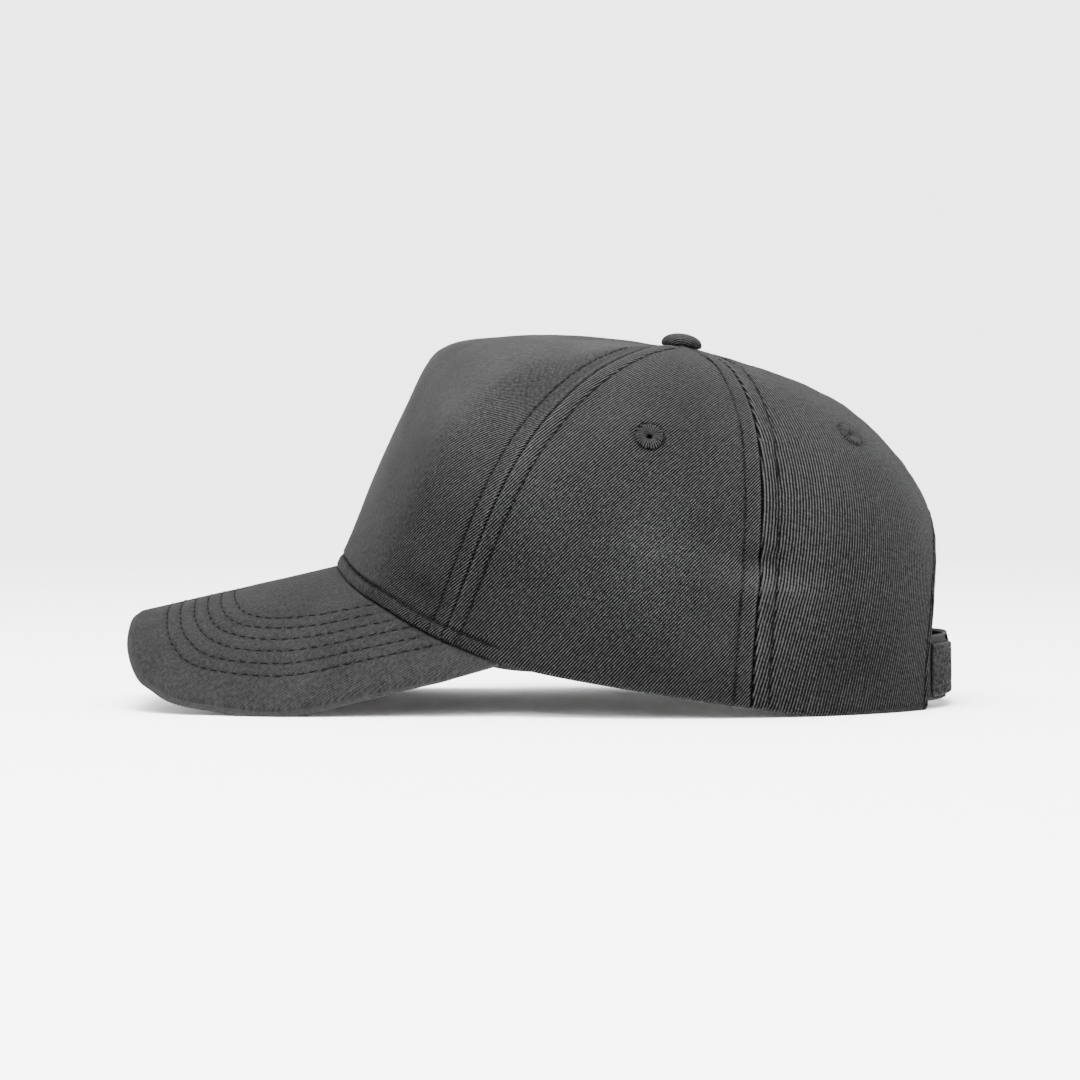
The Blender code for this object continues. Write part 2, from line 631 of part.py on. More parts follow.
clear_scene()
front_tip = float(rim_reach(np.array([0.0]))[0]) + PEAK_LENGTH
rear = float(rim_reach(np.array([180.0]))[0])
cap = bpy.data.objects.new("cap", None)
cap.location = (0.0, (front_tip - rear) / 2, 0.0)
bpy.context.scene.collection.objects.link(cap)
twill = new_material("charcoal_twill", (0.075, 0.075, 0.076), 0.9)
lining_tape = new_material("charcoal_tape", (0.06, 0.06, 0.061), 0.9)
embroidery = new_material("charcoal_thread", (0.065, 0.065, 0.066), 0.7)
loop_pile = new_material("loop_pile", (0.03, 0.03, 0.03), 0.95)
make_panels(cap, twill)
make_peak(cap, twill)
make_sweatband(cap, lining_tape)
make_button(cap, twill)
make_eyelets(cap, embroidery)
make_strap(cap, twill, loop_pile)
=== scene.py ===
"""Charcoal five panel cap, put together from its cloth panels to its strap, on a pale table."""
import math

import bpy
import numpy as np
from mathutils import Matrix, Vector


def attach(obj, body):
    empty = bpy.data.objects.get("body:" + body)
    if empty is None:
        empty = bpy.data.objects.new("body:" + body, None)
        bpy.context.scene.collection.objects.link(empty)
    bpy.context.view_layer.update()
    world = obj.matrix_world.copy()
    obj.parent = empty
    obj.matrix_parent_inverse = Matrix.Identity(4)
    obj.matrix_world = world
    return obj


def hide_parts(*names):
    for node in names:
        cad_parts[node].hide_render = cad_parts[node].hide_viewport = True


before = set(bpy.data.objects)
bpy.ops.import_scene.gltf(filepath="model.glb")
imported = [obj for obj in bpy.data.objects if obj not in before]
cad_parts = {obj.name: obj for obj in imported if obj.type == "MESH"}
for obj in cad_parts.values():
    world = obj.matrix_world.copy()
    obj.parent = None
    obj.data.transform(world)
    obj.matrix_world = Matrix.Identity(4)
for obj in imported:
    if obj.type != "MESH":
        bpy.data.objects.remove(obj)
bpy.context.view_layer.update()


# Front panel
# One wide panel of charcoal cotton twill, stiffened behind and pressed over the front's top corner.
# A short dart is sewn back from that corner, and turned seams join it to the two side panels.

RIM_LENGTH = 0.2102
RIM_WIDTH = 0.154
AXIS_FROM_RIM_MIDDLE = 0.0128
AXIS_BACK = 0.04745            # the button's axis stands this far behind the middle of the footprint
CROWN_HEIGHT = 0.1213
FRONT_RIM_HEIGHT = 0.0470
FRONT_LEAN = 0.0326
ROOF_SWELL = 0.00485
BACK_SWELL = 0.0050
CLOTH_WALL = 0.0016
BUTTON_HOLE_RADIUS = 0.003
CROWN_SECTIONS = (
    # bearing, squareness in plan, squareness in rise, shares of the lean, roof swell and back swell
    (0, 24.0, 24.0, 1.0, 1.0, 0.0),
    (15, 9.0, 10.0, 0.84, 0.88, 0.0),
    (30, 4.2, 5.2, 0.42, 0.48, 0.0),
    (45, 2.7, 3.8, 0.12, 0.12, 0.0),
    (90, 2.3, 3.4, 0.0, 0.0, 0.0),
    (135, 1.4, 3.6, 0.0, 0.0, 0.5),
    (180, 1.1, 3.6, 0.0, 0.0, 1.0),
)
RIM_HEIGHTS = (
    # bearing, share of the rim's height at the front
    (0, 1.0),
    (18, 0.805),
    (36, 0.522),
    (52, 0.330),
    (80, 0.174),
    (104, 0.068),
    (124, 0.0),
    (180, 0.0),
)
DENTS = (
    # bearing, share, half length round the crown, half height, depth (below zero stands out)
    (107.5, 0.70, 0.0090, 0.0030, 0.0013),
    (110.0, 0.755, 0.0150, 0.0038, -0.0012),
    (31.0, 0.93, 0.0120, 0.0060, 0.0008),
    (92.0, 0.72, 0.0300, 0.0060, -0.0006),
)
FRONT_SEAM = (36.4, 66.0, 1.0)    # bearing at the rim, bearing at the button, easing
BACK_SEAM = (104.4, 119.5, 1.4)
SEAM_GAP = 0.00008                # half of the gap between two panels in a seam
SEAM_LINE_BREADTH = 0.00045
TOPSTITCH_OFFSET = 0.0057         # from a seam to the row of stitches beside it
STITCH_PITCH = 0.0029
ROW_DEPTH = 0.00026               # how far a row of stitches sinks into the cloth,
ROW_PINCH = 0.00010               # and how much further where a stitch goes in
ROW_BREADTH = 0.00055
RIM_ROLL = 0.0009                 # radius of the edge that is turned in at the rim
INSIDE_ROLL = 0.0006
RUMPLES = (
    # depth, spacing round the crown, spacing down it, share above the rim over which it fades, seed
    (0.00030, 0.021, 0.017, 0.05, 5),
    (0.00042, 0.034, 0.030, 0.10, 8),
)
FINE_RUMPLE = (0.00010, 0.0070, 0.0080, 6)
USUAL_REACH = 0.09                # of the crown from its axis, for the spacing of creases
USUAL_LENGTH = 0.15               # down the crown
# Painted light near the button and painted shade towards the rim: the tone falls with the square of the share
# down the crown.
PAINTED_LIGHT_AT_BUTTON = 0.08
PAINTED_SHADE_AT_RIM = 0.28
PAINTED_LIGHT_OF_RELIEF = 230.0            # painted light on ridges and painted shade in hollows, for each metre that the cloth stands out
PANEL_ROWS = 176
FRONT_COLUMNS = 190
SOFT_PANEL_COLUMNS = 120
CHARCOAL_DARK = (0.0005, 0.0005, 0.0005)
CHARCOAL_LIGHT = (0.0345, 0.0345, 0.035)
WALE_SPACING = 0.81               # millimetres from one line of the twill to the next
FLOAT_SPACING = 1.1               # millimetres between the threads that break the lines
TWILL_DEPTH = 0.00024
WAVE_UNIT = 0.31416               # scale at which a wave texture's lines lie one unit apart


def eased(rows, column, at):
    """Values of a table's column, on a smooth curve that never overshoots."""
    keys = np.array([float(row[0]) for row in rows])
    values = np.array([float(row[column]) for row in rows])
    steps = np.diff(values) / np.diff(keys)
    slopes = np.zeros(len(keys))
    for i in range(1, len(keys) - 1):
        if steps[i - 1] * steps[i] > 0:
            slopes[i] = 2 * steps[i - 1] * steps[i] / (steps[i - 1] + steps[i])
    folded = np.abs((np.asarray(at, float) + 180) % 360 - 180)
    i = np.clip(np.searchsorted(keys, folded, side="right") - 1, 0, len(keys) - 2)
    width = keys[i + 1] - keys[i]
    s = (folded - keys[i]) / width
    return ((2 * s**3 - 3 * s**2 + 1) * values[i] + (s**3 - 2 * s**2 + s) * width * slopes[i]
            + (3 * s**2 - 2 * s**3) * values[i + 1] + (s**3 - s**2) * width * slopes[i + 1])


def rim_reach(bearing):
    """Distance from the button's axis to the rim."""
    angle = np.radians(bearing)
    across, along = RIM_WIDTH / 2, RIM_LENGTH / 2
    a = (np.sin(angle) / across) ** 2 + (np.cos(angle) / along) ** 2
    b = -2 * np.cos(angle) * AXIS_FROM_RIM_MIDDLE / along**2
    c = (AXIS_FROM_RIM_MIDDLE / along) ** 2 - 1
    return (-b + np.sqrt(b * b - 4 * a * c)) / (2 * a)


def press_crown(bearings, shares):
    """Points and normals of the crown's outer face on a grid, and the length down each meridian."""
    bearing = bearings[:, None]
    plan = eased(CROWN_SECTIONS, 1, bearing)
    rise = eased(CROWN_SECTIONS, 2, bearing)
    lean = FRONT_LEAN * eased(CROWN_SECTIONS, 3, bearing)
    foot = FRONT_RIM_HEIGHT * eased(RIM_HEIGHTS, 1, bearing)
    reach = rim_reach(bearing)
    ramp = np.linspace(0, 1, 500)[None, :]
    roof_out = 0.5 ** (1 / plan) * ramp
    wall_up = 0.5 ** (1 / rise) * (1 - ramp[:, 1:])
    out = np.concatenate([roof_out, (1 - wall_up**rise) ** (1 / plan)], axis=1)
    up = np.concatenate([(1 - roof_out**plan) ** (1 / rise), wall_up], axis=1)
    r = out * (reach - lean * up)
    along_roof = np.minimum(1, r / (reach - lean))
    arch = along_roof * (1 - along_roof)
    swelling = 4 * ROOF_SWELL * eased(CROWN_SECTIONS, 4, bearing) * arch * along_roof / (along_roof + 0.05)
    swelling = swelling + 27 / 4 * BACK_SWELL * eased(CROWN_SECTIONS, 5, bearing) * arch * along_roof
    z = foot + (CROWN_HEIGHT - foot) * up + swelling
    run = np.cumsum(np.hypot(np.diff(r, axis=1), np.diff(z, axis=1)), axis=1)
    run = np.concatenate([np.zeros((len(r), 1)), run], axis=1)
    reaches = np.array([np.interp(shares * run[k, -1], run[k], r[k]) for k in range(len(r))])
    heights = np.array([np.interp(shares * run[k, -1], run[k], z[k]) for k in range(len(r))])
    angle = np.radians(bearing)
    face = np.stack([reaches * np.sin(angle), AXIS_BACK - reaches * np.cos(angle), heights], axis=2)
    ring = np.concatenate([face[-3:-1], face, face[1:3]])
    across = (ring[4:] - ring[:-4])
    down = np.gradient(face, axis=1)
    normal = np.cross(down, across)
    normal[:, :3] = (0, 0, 1)
    normal /= np.linalg.norm(normal, axis=2)[:, :, None]
    normal[:, :, 2] *= np.clip((1 - shares) / 0.06, 0, 1)
    normal /= np.linalg.norm(normal, axis=2)[:, :, None]
    return face, normal, run[:, -1]


BEARING_STEP = 0.5
SHARE_STEPS = 400
crown_face, crown_normal, crown_length = press_crown(
    np.arange(-180, 180 + BEARING_STEP, BEARING_STEP), np.linspace(0, 1, SHARE_STEPS + 1))


def on_crown(bearing, share):
    """Points on the crown's outer face and the directions out of it. Past the rim it hangs straight down."""
    bearing, share = np.broadcast_arrays(np.asarray(bearing, float), np.asarray(share, float))
    x = np.clip((bearing + 180) / BEARING_STEP, 0, len(crown_face) - 1.000001)
    y = np.clip(share, 0, 0.999999) * SHARE_STEPS
    i, j = x.astype(int), y.astype(int)
    s, t = (x - i)[..., None], (y - j)[..., None]
    mixed = []
    for table in (crown_face, crown_normal):
        mixed.append((table[i, j] * (1 - t) + table[i, j + 1] * t) * (1 - s)
                     + (table[i + 1, j] * (1 - t) + table[i + 1, j + 1] * t) * s)
    place, normal = mixed
    normal = normal / np.linalg.norm(normal, axis=-1, keepdims=True)
    below = np.maximum(share - 1, 0) * length_down(bearing)
    return place - below[..., None] * np.array([0.0, 0.0, 1.0]), normal


def length_down(bearing):
    """Length of the crown's wall from the button's axis to the rim at a bearing."""
    x = np.clip((np.asarray(bearing, float) + 180) / BEARING_STEP, 0, len(crown_face) - 1.000001)
    i = x.astype(int)
    return crown_length[i] * (1 - x + i) + crown_length[i + 1] * (x - i)


def share_at_height(bearing, height):
    """Share at which the crown's wall passes a height."""
    shares = np.linspace(0.2, 1, 900)
    heights = on_crown(np.full(900, float(bearing)), shares)[0][:, 2]
    top = int(np.argmax(heights))
    return float(np.interp(-height, -heights[top:], shares[top:]))


def seam_bearing(seam, share):
    """Bearing of a seam at shares of the way from the button to the rim."""
    at_rim, at_button, easing = seam
    return at_rim + (at_button - at_rim) * (1 - np.asarray(share, float)) ** easing


def away_from(points, line):
    """Distance from each point to a sewn line, and how far along the line its nearest place lies."""
    flat = points.reshape(-1, 3)
    travel = np.concatenate([[0], np.cumsum(np.linalg.norm(np.diff(line, axis=0), axis=1))])
    square = (line**2).sum(1)
    nearest = np.concatenate([np.argmin(square[None] - 2 * part @ line.T, axis=1)
                              for part in np.array_split(flat, max(1, len(flat) // 4000))])
    best, along = np.full(len(flat), np.inf), np.zeros(len(flat))
    for step in (-1, 0):
        k = np.clip(nearest + step, 0, len(line) - 2)
        reach = line[k + 1] - line[k]
        part = ((flat - line[k]) * reach).sum(1) / np.maximum((reach**2).sum(1), 1e-16)
        part = np.clip(part, 0, 1)
        gap = np.linalg.norm(flat - line[k] - reach * part[:, None], axis=1)
        closer = gap < best
        best = np.where(closer, gap, best)
        along = np.where(closer, travel[k] + part * (travel[k + 1] - travel[k]), along)
    return best.reshape(points.shape[:-1]), along.reshape(points.shape[:-1])


def wander(along, seed):
    """Smooth unevenness along a line, between -1 and 1 with one knot for each whole number."""
    knots = np.random.default_rng(seed).uniform(-1, 1, 1024)
    cell = np.floor(along).astype(int)
    part = along - cell
    part = part * part * (3 - 2 * part)
    return knots[cell % 1024] * (1 - part) + knots[(cell + 1) % 1024] * part


def rumple(x, y, seed):
    """Smooth unevenness over a surface, between -1 and 1."""
    knots = np.random.default_rng(seed).uniform(-1, 1, (128, 128))
    x, y = x + 40, y + 40         # the middle of the cloth lies well inside the knots
    i, j = np.floor(x).astype(int), np.floor(y).astype(int)
    s, t = x - i, y - j
    s, t = s * s * (3 - 2 * s), t * t * (3 - 2 * t)
    near = knots[i % 128, j % 128] * (1 - s) + knots[(i + 1) % 128, j % 128] * s
    far = knots[i % 128, (j + 1) % 128] * (1 - s) + knots[(i + 1) % 128, (j + 1) % 128] * s
    return near * (1 - t) + far * t


def turned_edge(distance, radius):
    """How far a folded edge has rolled inwards at a distance from it."""
    inside = np.clip(radius - distance, 0, radius)
    return radius - np.sqrt(np.maximum(radius**2 - inside**2, 0))


def near(distance, line, breadth):
    """One on a line that lies at a distance, falling away softly to either side of it."""
    return np.exp(-((distance - line) / breadth) ** 2)


def stitched_fold(distance, along, row, fullness, pucker, seed):
    """Relief beside a turned seam or hem: a soft roll, a row of stitches that sinks, and puckers."""
    across = np.clip(distance / row, 0, 1)
    roll = fullness * (1 - (2 * across - 1) ** 4) * (distance < row)
    pinch = 0.5 + 0.5 * np.cos(2 * math.pi * along / STITCH_PITCH)
    ripple = wander(along / 0.0046, seed) + 0.6 * wander(along / 0.0021, seed + 1)
    sunk = (ROW_DEPTH + ROW_PINCH * pinch) * near(distance, row, ROW_BREADTH)
    return roll * (1 + 0.4 * ripple) - sunk + pucker * ripple * near(distance, row, 0.55 * row)


def crown_line(bearing, share):
    """A line on the crown as points."""
    return on_crown(bearing, share)[0]


fine_shares = np.linspace(0, 1, 320)
crown_seams = {}
for side_name, sign in (("left", 1), ("right", -1)):
    crown_seams["front", side_name] = crown_line(sign * seam_bearing(FRONT_SEAM, fine_shares), fine_shares)
    crown_seams["back", side_name] = crown_line(sign * seam_bearing(BACK_SEAM, fine_shares), fine_shares)
rim_bearings = np.linspace(-180, 180, 1081)
rim_line = crown_line(rim_bearings, np.ones(1081))
PEAK_END_BEARING = 48.0
RIM_ROW_OFFSET = 0.0046           # from the rim to the row of stitches above the peak
DART_LENGTH = 0.027
DART_ROW_OFFSET = 0.0048
corner_share = share_at_height(0.0, FRONT_RIM_HEIGHT + 0.93 * (CROWN_HEIGHT - FRONT_RIM_HEIGHT))
dart_shares = np.linspace(corner_share, corner_share - DART_LENGTH / length_down(0.0), 40)
dart_line = crown_line(np.zeros(40), dart_shares)


def crease(bearing, share, depth, spacing_round, spacing_down, seed):
    """Soft unevenness of the cloth, with its spacing round the crown and down it."""
    run, drop = np.radians(bearing) * USUAL_REACH, share * USUAL_LENGTH
    return depth * rumple(run / spacing_round, drop / spacing_down, seed)


def crown_relief(place, bearing, share, seams):
    """Height of the worked cloth over the plain crown, and its tone: worn edges, and painted light on ridges
    and painted shade in hollows, grooves and rows of stitches.
    """
    relief = np.zeros(share.shape)
    for at, down, half_length, half_height, deep in DENTS:
        across = np.radians(np.abs(bearing) - at) * rim_reach(at) / half_length
        along = (share - down) * length_down(at) / half_height
        relief -= deep * np.exp(-across**2 - along**2)
    for depth, spacing_round, spacing_down, fading, seed in RUMPLES:
        faded = np.clip((1 - share) / fading, 0, 1)
        relief += crease(bearing, share, depth, spacing_round, spacing_down, seed) * faded
    # Painted light near the button, painted shade towards the rim, and painted light on ridges and painted
    # shade in hollows of the dents and rumples.
    painted_shade_and_wear = PAINTED_LIGHT_AT_BUTTON - PAINTED_SHADE_AT_RIM * share**2 + PAINTED_LIGHT_OF_RELIEF * relief
    relief += crease(bearing, share, *FINE_RUMPLE)
    for number, (line, fullness, pucker, groove) in enumerate(seams):
        distance, along = away_from(place, line)
        relief += stitched_fold(distance, along, TOPSTITCH_OFFSET, fullness, pucker, 20 + number)
        relief -= groove * near(distance, 0, SEAM_LINE_BREADTH)
        painted_shade_and_wear += 0.22 * near(distance, 0.0011, 0.0005)
        # Painted shade in the seam's groove and along the row of stitches beside it.
        painted_shade_and_wear -= 1000 * groove * near(distance, 0, 0.0005)
        painted_shade_and_wear -= 0.40 * near(distance, TOPSTITCH_OFFSET, SEAM_LINE_BREADTH)
    above_rim, along = away_from(place, rim_line)
    over_peak = np.clip((PEAK_END_BEARING + 1.5 - np.abs(bearing)) / 3, 0, 1)
    fullness = 0.00090 * np.clip((np.abs(bearing) - 4) / 18, 0.15, 1)
    relief += over_peak * (stitched_fold(above_rim, along, RIM_ROW_OFFSET, fullness, 0.00014, 31)
                           - 0.00035 * near(above_rim, RIM_ROW_OFFSET, 0.0008))
    # Painted shade along the row of stitches above the peak.
    painted_shade_and_wear -= over_peak * 0.35 * near(above_rim, RIM_ROW_OFFSET, 0.0006)
    relief -= turned_edge(above_rim, RIM_ROLL)
    return relief, painted_shade_and_wear + 0.6 * near(above_rim, 0, 0.0006)


def front_relief(place, bearing, share):
    """The front panel's relief, with the two seams, and the dart pinched in at its top corner."""
    seams = [(crown_seams["front", side], 0.00010, 0.00004, 0.00035) for side in ("left", "right")]
    relief, painted_shade_and_wear = crown_relief(place, bearing, share, seams)
    distance, along = away_from(place, dart_line)
    to_point = np.clip((DART_LENGTH - along) / 0.008, 0, 1)
    fading = np.where(distance < 0.011, np.clip(along / 0.003, 0.0, 1) * to_point, 0)
    relief += fading * stitched_fold(distance, along, DART_ROW_OFFSET, 0.00012, 0.00004, 41)
    relief -= 0.00045 * near(distance, 0, 0.0005) * to_point
    # Painted shade along the dart's rows of stitches.
    return relief, painted_shade_and_wear - 0.3 * fading * near(distance, DART_ROW_OFFSET, SEAM_LINE_BREADTH)


def graded(count, crowding):
    """Steps from 0 to 1 that lie closer together towards both ends."""
    t = np.linspace(0, 1, count)
    return t - crowding * np.sin(2 * math.pi * t) / (2 * math.pi)


def on_grain(x, y, grain):
    """Places on flat cloth in millimetres, turned by the grain's angle so that the twill runs along Y."""
    turn = math.radians(grain)
    return np.stack([x * math.sin(turn) + y * math.cos(turn), y * math.sin(turn) - x * math.cos(turn)], axis=-1)


def flat_cut(grain):
    """A cloth map that is measured across a panel and down it from the middle of its rows."""
    def flat_map(face, bearing, share):
        steps = np.linalg.norm(np.diff(face, axis=1), axis=2)
        across = np.concatenate([np.zeros((len(face), 1)), np.cumsum(steps, axis=1)], axis=1)
        centre = face.shape[1] // 2
        across -= across[:, centre:centre + 1]
        fall = np.linalg.norm(np.diff(face[:, centre], axis=0), axis=1)
        fall = np.concatenate([[0], np.cumsum(fall)])
        return on_grain(across * 1000, np.broadcast_to(fall[:, None], across.shape) * 1000, grain)
    return flat_map


def new_piece(name, points, faces):
    """A smooth mesh of points and faces, as an object in the scene."""
    mesh = bpy.data.meshes.new(name)
    mesh.from_pydata(points, [], faces)
    mesh.shade_smooth()
    piece = bpy.data.objects.new(name, mesh)
    bpy.context.scene.collection.objects.link(piece)
    return piece


def corner_points(mesh):
    """Number of the point at each corner of a mesh's faces."""
    corners = np.empty(len(mesh.loops), np.int32)
    mesh.loops.foreach_get("vertex_index", corners)
    return corners


def lay_cloth(mesh, flat):
    """Store where each corner of a mesh's faces lies on the cloth."""
    mesh.uv_layers.new(name="cloth").data.foreach_set("uv", flat.ravel())


def mark_points(mesh, name, values):
    """Store a number for each of a mesh's points."""
    mesh.attributes.new(name, "FLOAT", "POINT").data.foreach_set("value", np.ravel(values))


def cloth_piece(name, outer, inner, flat, painted_shade_and_wear):
    """Closed shell between two grids of points, with its cloth map and its tone of wear and painted shade."""
    rows, columns = outer.shape[:2]
    count = rows * columns
    grid = np.arange(count).reshape(rows, columns)
    faces = [np.stack([grid[:-1, :-1], grid[1:, :-1], grid[1:, 1:], grid[:-1, 1:]], axis=2).reshape(-1, 4)]
    faces.append(faces[0][:, ::-1] + count)
    border = np.concatenate([grid[0], grid[1:, -1], grid[-1, -2::-1], grid[-2:0:-1, 0]])
    following = np.roll(border, -1)
    faces.append(np.stack([border, following, following + count, border + count], axis=1))
    points = np.concatenate([outer.reshape(-1, 3), inner.reshape(-1, 3)])
    piece = new_piece(name, points, np.concatenate(faces).tolist())
    lay_cloth(piece.data, flat.reshape(-1, 2)[corner_points(piece.data) % count])
    mark_points(piece.data, "wear_and_painted_shade", np.tile(painted_shade_and_wear.ravel(), 2))
    return piece


def wire(tree, kind, inputs, **settings):
    """Add a shader node with its settings, and its inputs given as values or as other nodes' outputs."""
    node = tree.nodes.new(kind)
    for key, value in settings.items():
        setattr(node, key, value)
    for key, value in inputs.items():
        if isinstance(value, bpy.types.NodeSocket):
            tree.links.new(value, node.inputs[key])
        else:
            node.inputs[key].default_value = value
    return node


def reckon(tree, operation, first, second):
    return wire(tree, "ShaderNodeMath", {0: first, 1: second}, operation=operation).outputs[0]


def weighed(tree, *parts):
    """Sum of nodes' outputs, each given with its weight."""
    total = 0.0
    for value, weight in parts:
        total = reckon(tree, "ADD", total, reckon(tree, "MULTIPLY", value, weight))
    return total


def specks(tree, place, scale, detail, roughness=0.5):
    """Soft uneven grain over a surface."""
    return wire(tree, "ShaderNodeTexNoise", {"Vector": place, "Scale": scale, "Detail": detail,
                                             "Roughness": roughness}).outputs["Fac"]


def thread_lines(tree, flat, spacing, axis, waviness, detail, detail_scale=1.0):
    """Even lines of thread across an axis of the cloth, at a spacing in millimetres."""
    return wire(tree, "ShaderNodeTexWave",
                {"Vector": flat, "Scale": WAVE_UNIT / spacing, "Distortion": waviness, "Detail": detail,
                 "Detail Scale": detail_scale}, bands_direction=axis).outputs["Fac"]


def stored(tree, name):
    return wire(tree, "ShaderNodeAttribute", {}, attribute_name=name).outputs["Fac"]


def blend_colours(tree, share, dark, light):
    node = wire(tree, "ShaderNodeMix", {0: share, 6: (*dark, 1.0), 7: (*light, 1.0)}, data_type="RGBA")
    return node.outputs[2]


def new_finish(name, roughness, specular):
    """A material with its nodes and its shader."""
    material = bpy.data.materials.new(name)
    material.use_nodes = True
    shader = material.node_tree.nodes["Principled BSDF"]
    shader.inputs["Roughness"].default_value = roughness
    shader.inputs["Specular IOR Level"].default_value = specular
    return material, material.node_tree, shader


def raise_threads(tree, shader, height, strength, depth):
    bump = wire(tree, "ShaderNodeBump", {"Strength": strength, "Distance": depth, "Height": height})
    tree.links.new(bump.outputs[0], shader.inputs["Normal"])


def twill_cloth(name, dark, light):
    """Brushed cotton twill: slanting wales broken by single threads, with lint, nap, wear, and painted light
    and shade.
    """
    material, tree, shader = new_finish(name, 0.85, 0.02)
    flat = wire(tree, "ShaderNodeUVMap", {}, uv_map="cloth").outputs["UV"]
    wales = thread_lines(tree, flat, WALE_SPACING, "X", 0.9, 2.0, 0.8)
    floats = thread_lines(tree, flat, FLOAT_SPACING, "Y", 6.0, 2.0, 1.6)
    fibre = specks(tree, flat, 0.85, 3.0, 0.75)
    cloudy = specks(tree, flat, 0.055, 4.0, 0.6)
    stretched = wire(tree, "ShaderNodeMapping", {"Vector": flat, "Scale": (1.2, 0.14, 1.0)}).outputs[0]
    slubs = specks(tree, stretched, 1.0, 2.0)
    nap = stored(tree, "nap")
    clear = reckon(tree, "SUBTRACT", 1.0, nap)
    wales = reckon(tree, "MULTIPLY", reckon(tree, "SUBTRACT", wales, 0.5), clear)
    floats = reckon(tree, "MULTIPLY", floats, reckon(tree, "MULTIPLY", clear, 0.15))
    lint = reckon(tree, "MULTIPLY", reckon(tree, "SUBTRACT", fibre, 0.5), reckon(tree, "ADD", clear, 0.55))
    height = reckon(tree, "ADD", reckon(tree, "ADD", wales, floats), reckon(tree, "ADD", lint, 1.0))
    # The tone follows the threads' height, painted shade between the wales and painted light on their crests,
    # with the stored wear and painted shade.
    tone = weighed(tree, (height, 1.0), (nap, 0.24), (cloudy, 0.16), (slubs, 0.16), (stored(tree, "wear_and_painted_shade"), 0.8))
    share = wire(tree, "ShaderNodeMapRange", {0: tone, 1: 1.00, 2: 1.85}).outputs[0]
    tree.links.new(blend_colours(tree, share, dark, light), shader.inputs["Base Color"])
    raise_threads(tree, shader, height, 1.0, TWILL_DEPTH)
    rough = wire(tree, "ShaderNodeMapRange", {0: fibre, 3: 0.75, 4: 0.95}).outputs[0]
    tree.links.new(rough, shader.inputs["Roughness"])
    shader.inputs["Sheen Weight"].default_value = 0.010
    shader.inputs["Sheen Roughness"].default_value = 0.4
    return material


charcoal_twill = twill_cloth("charcoal_twill", CHARCOAL_DARK, CHARCOAL_LIGHT)


def sew_panel(name, left, right, cloth_map, relief_of, columns, napped=False):
    """Press a panel between two edges, each a list of bearings and shares, and lay its relief on it."""
    mix = graded(columns, 0.78)[None, :]
    bearing = left[0][:, None] * (1 - mix) + right[0][:, None] * mix
    share = left[1][:, None] * (1 - mix) + right[1][:, None] * mix
    place, normal = on_crown(bearing, share)
    relief, painted_shade_and_wear = relief_of(place, bearing, share)
    outer = place + normal * relief[..., None]
    depth = CLOTH_WALL - turned_edge(away_from(place, rim_line)[0], INSIDE_ROLL)
    inner = place - normal * depth[..., None]
    panel = cloth_piece(f"{name}_cloth", outer, inner, cloth_map(place, bearing, share), painted_shade_and_wear)
    if napped:                    # brushed at the front and top, clear towards the foot of its sides
        brushed = np.clip((35 - np.abs(bearing)) / 11 + 3.0 * (0.71 - share), 0, 0.94)
        mark_points(panel.data, "nap", np.tile(brushed.ravel(), 2))
    panel.data.materials.append(charcoal_twill)
    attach(panel, "root")
    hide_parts(name)
    return panel


def seam_side(seam, sign, past, shares):
    """Edge of a panel along a seam: past is +1 where the panel lies beyond the seam's bearing."""
    bearing = seam_bearing(seam, shares)
    place = on_crown(bearing, shares)[0]
    reach = np.hypot(place[:, 0], place[:, 1] - AXIS_BACK)
    return sign * (bearing + past * np.degrees(SEAM_GAP / reach)), shares


first_share = BUTTON_HOLE_RADIUS / 0.13
panel_shares = first_share + (1 - first_share) * graded(PANEL_ROWS, 0.45)
sew_panel("front_panel", *(seam_side(FRONT_SEAM, sign, -1, panel_shares) for sign in (-1, 1)),
          flat_cut(54.0), front_relief, FRONT_COLUMNS, napped=True)


# Stitches
# Spun thread, sewn in even lockstitches that sink into the cloth at both ends, coloured darker than the cloth
# as painted shade for the grooves they lie in.
# Rows stand 5.7 mm to either side of each seam, and run round the opening, above the peak and by the dart.

THREAD_RADIUS = 0.00022
STITCH_LENGTH = 0.0024


def spun_thread(name, colour):
    """Twisted thread, darker in the turns of its twist."""
    material, tree, shader = new_finish(name, 0.8, 0.03)
    place = wire(tree, "ShaderNodeTexCoord", {}).outputs["Object"]
    twist = specks(tree, place, 2600.0, 2.0)
    tone = weighed(tree, (twist, 0.6), (specks(tree, place, 220.0, 2.0), 0.4))
    dark, light = (tuple(share * c for c in colour) for share in (0.55, 1.5))
    tree.links.new(blend_colours(tree, tone, dark, light), shader.inputs["Base Color"])
    raise_threads(tree, shader, twist, 0.7, 0.0001)
    return material


# Its colour, far darker than the cloth's, is painted shade for the grooves the stitches sink into.
charcoal_thread = spun_thread("charcoal_thread", (0.0022, 0.0022, 0.0022))


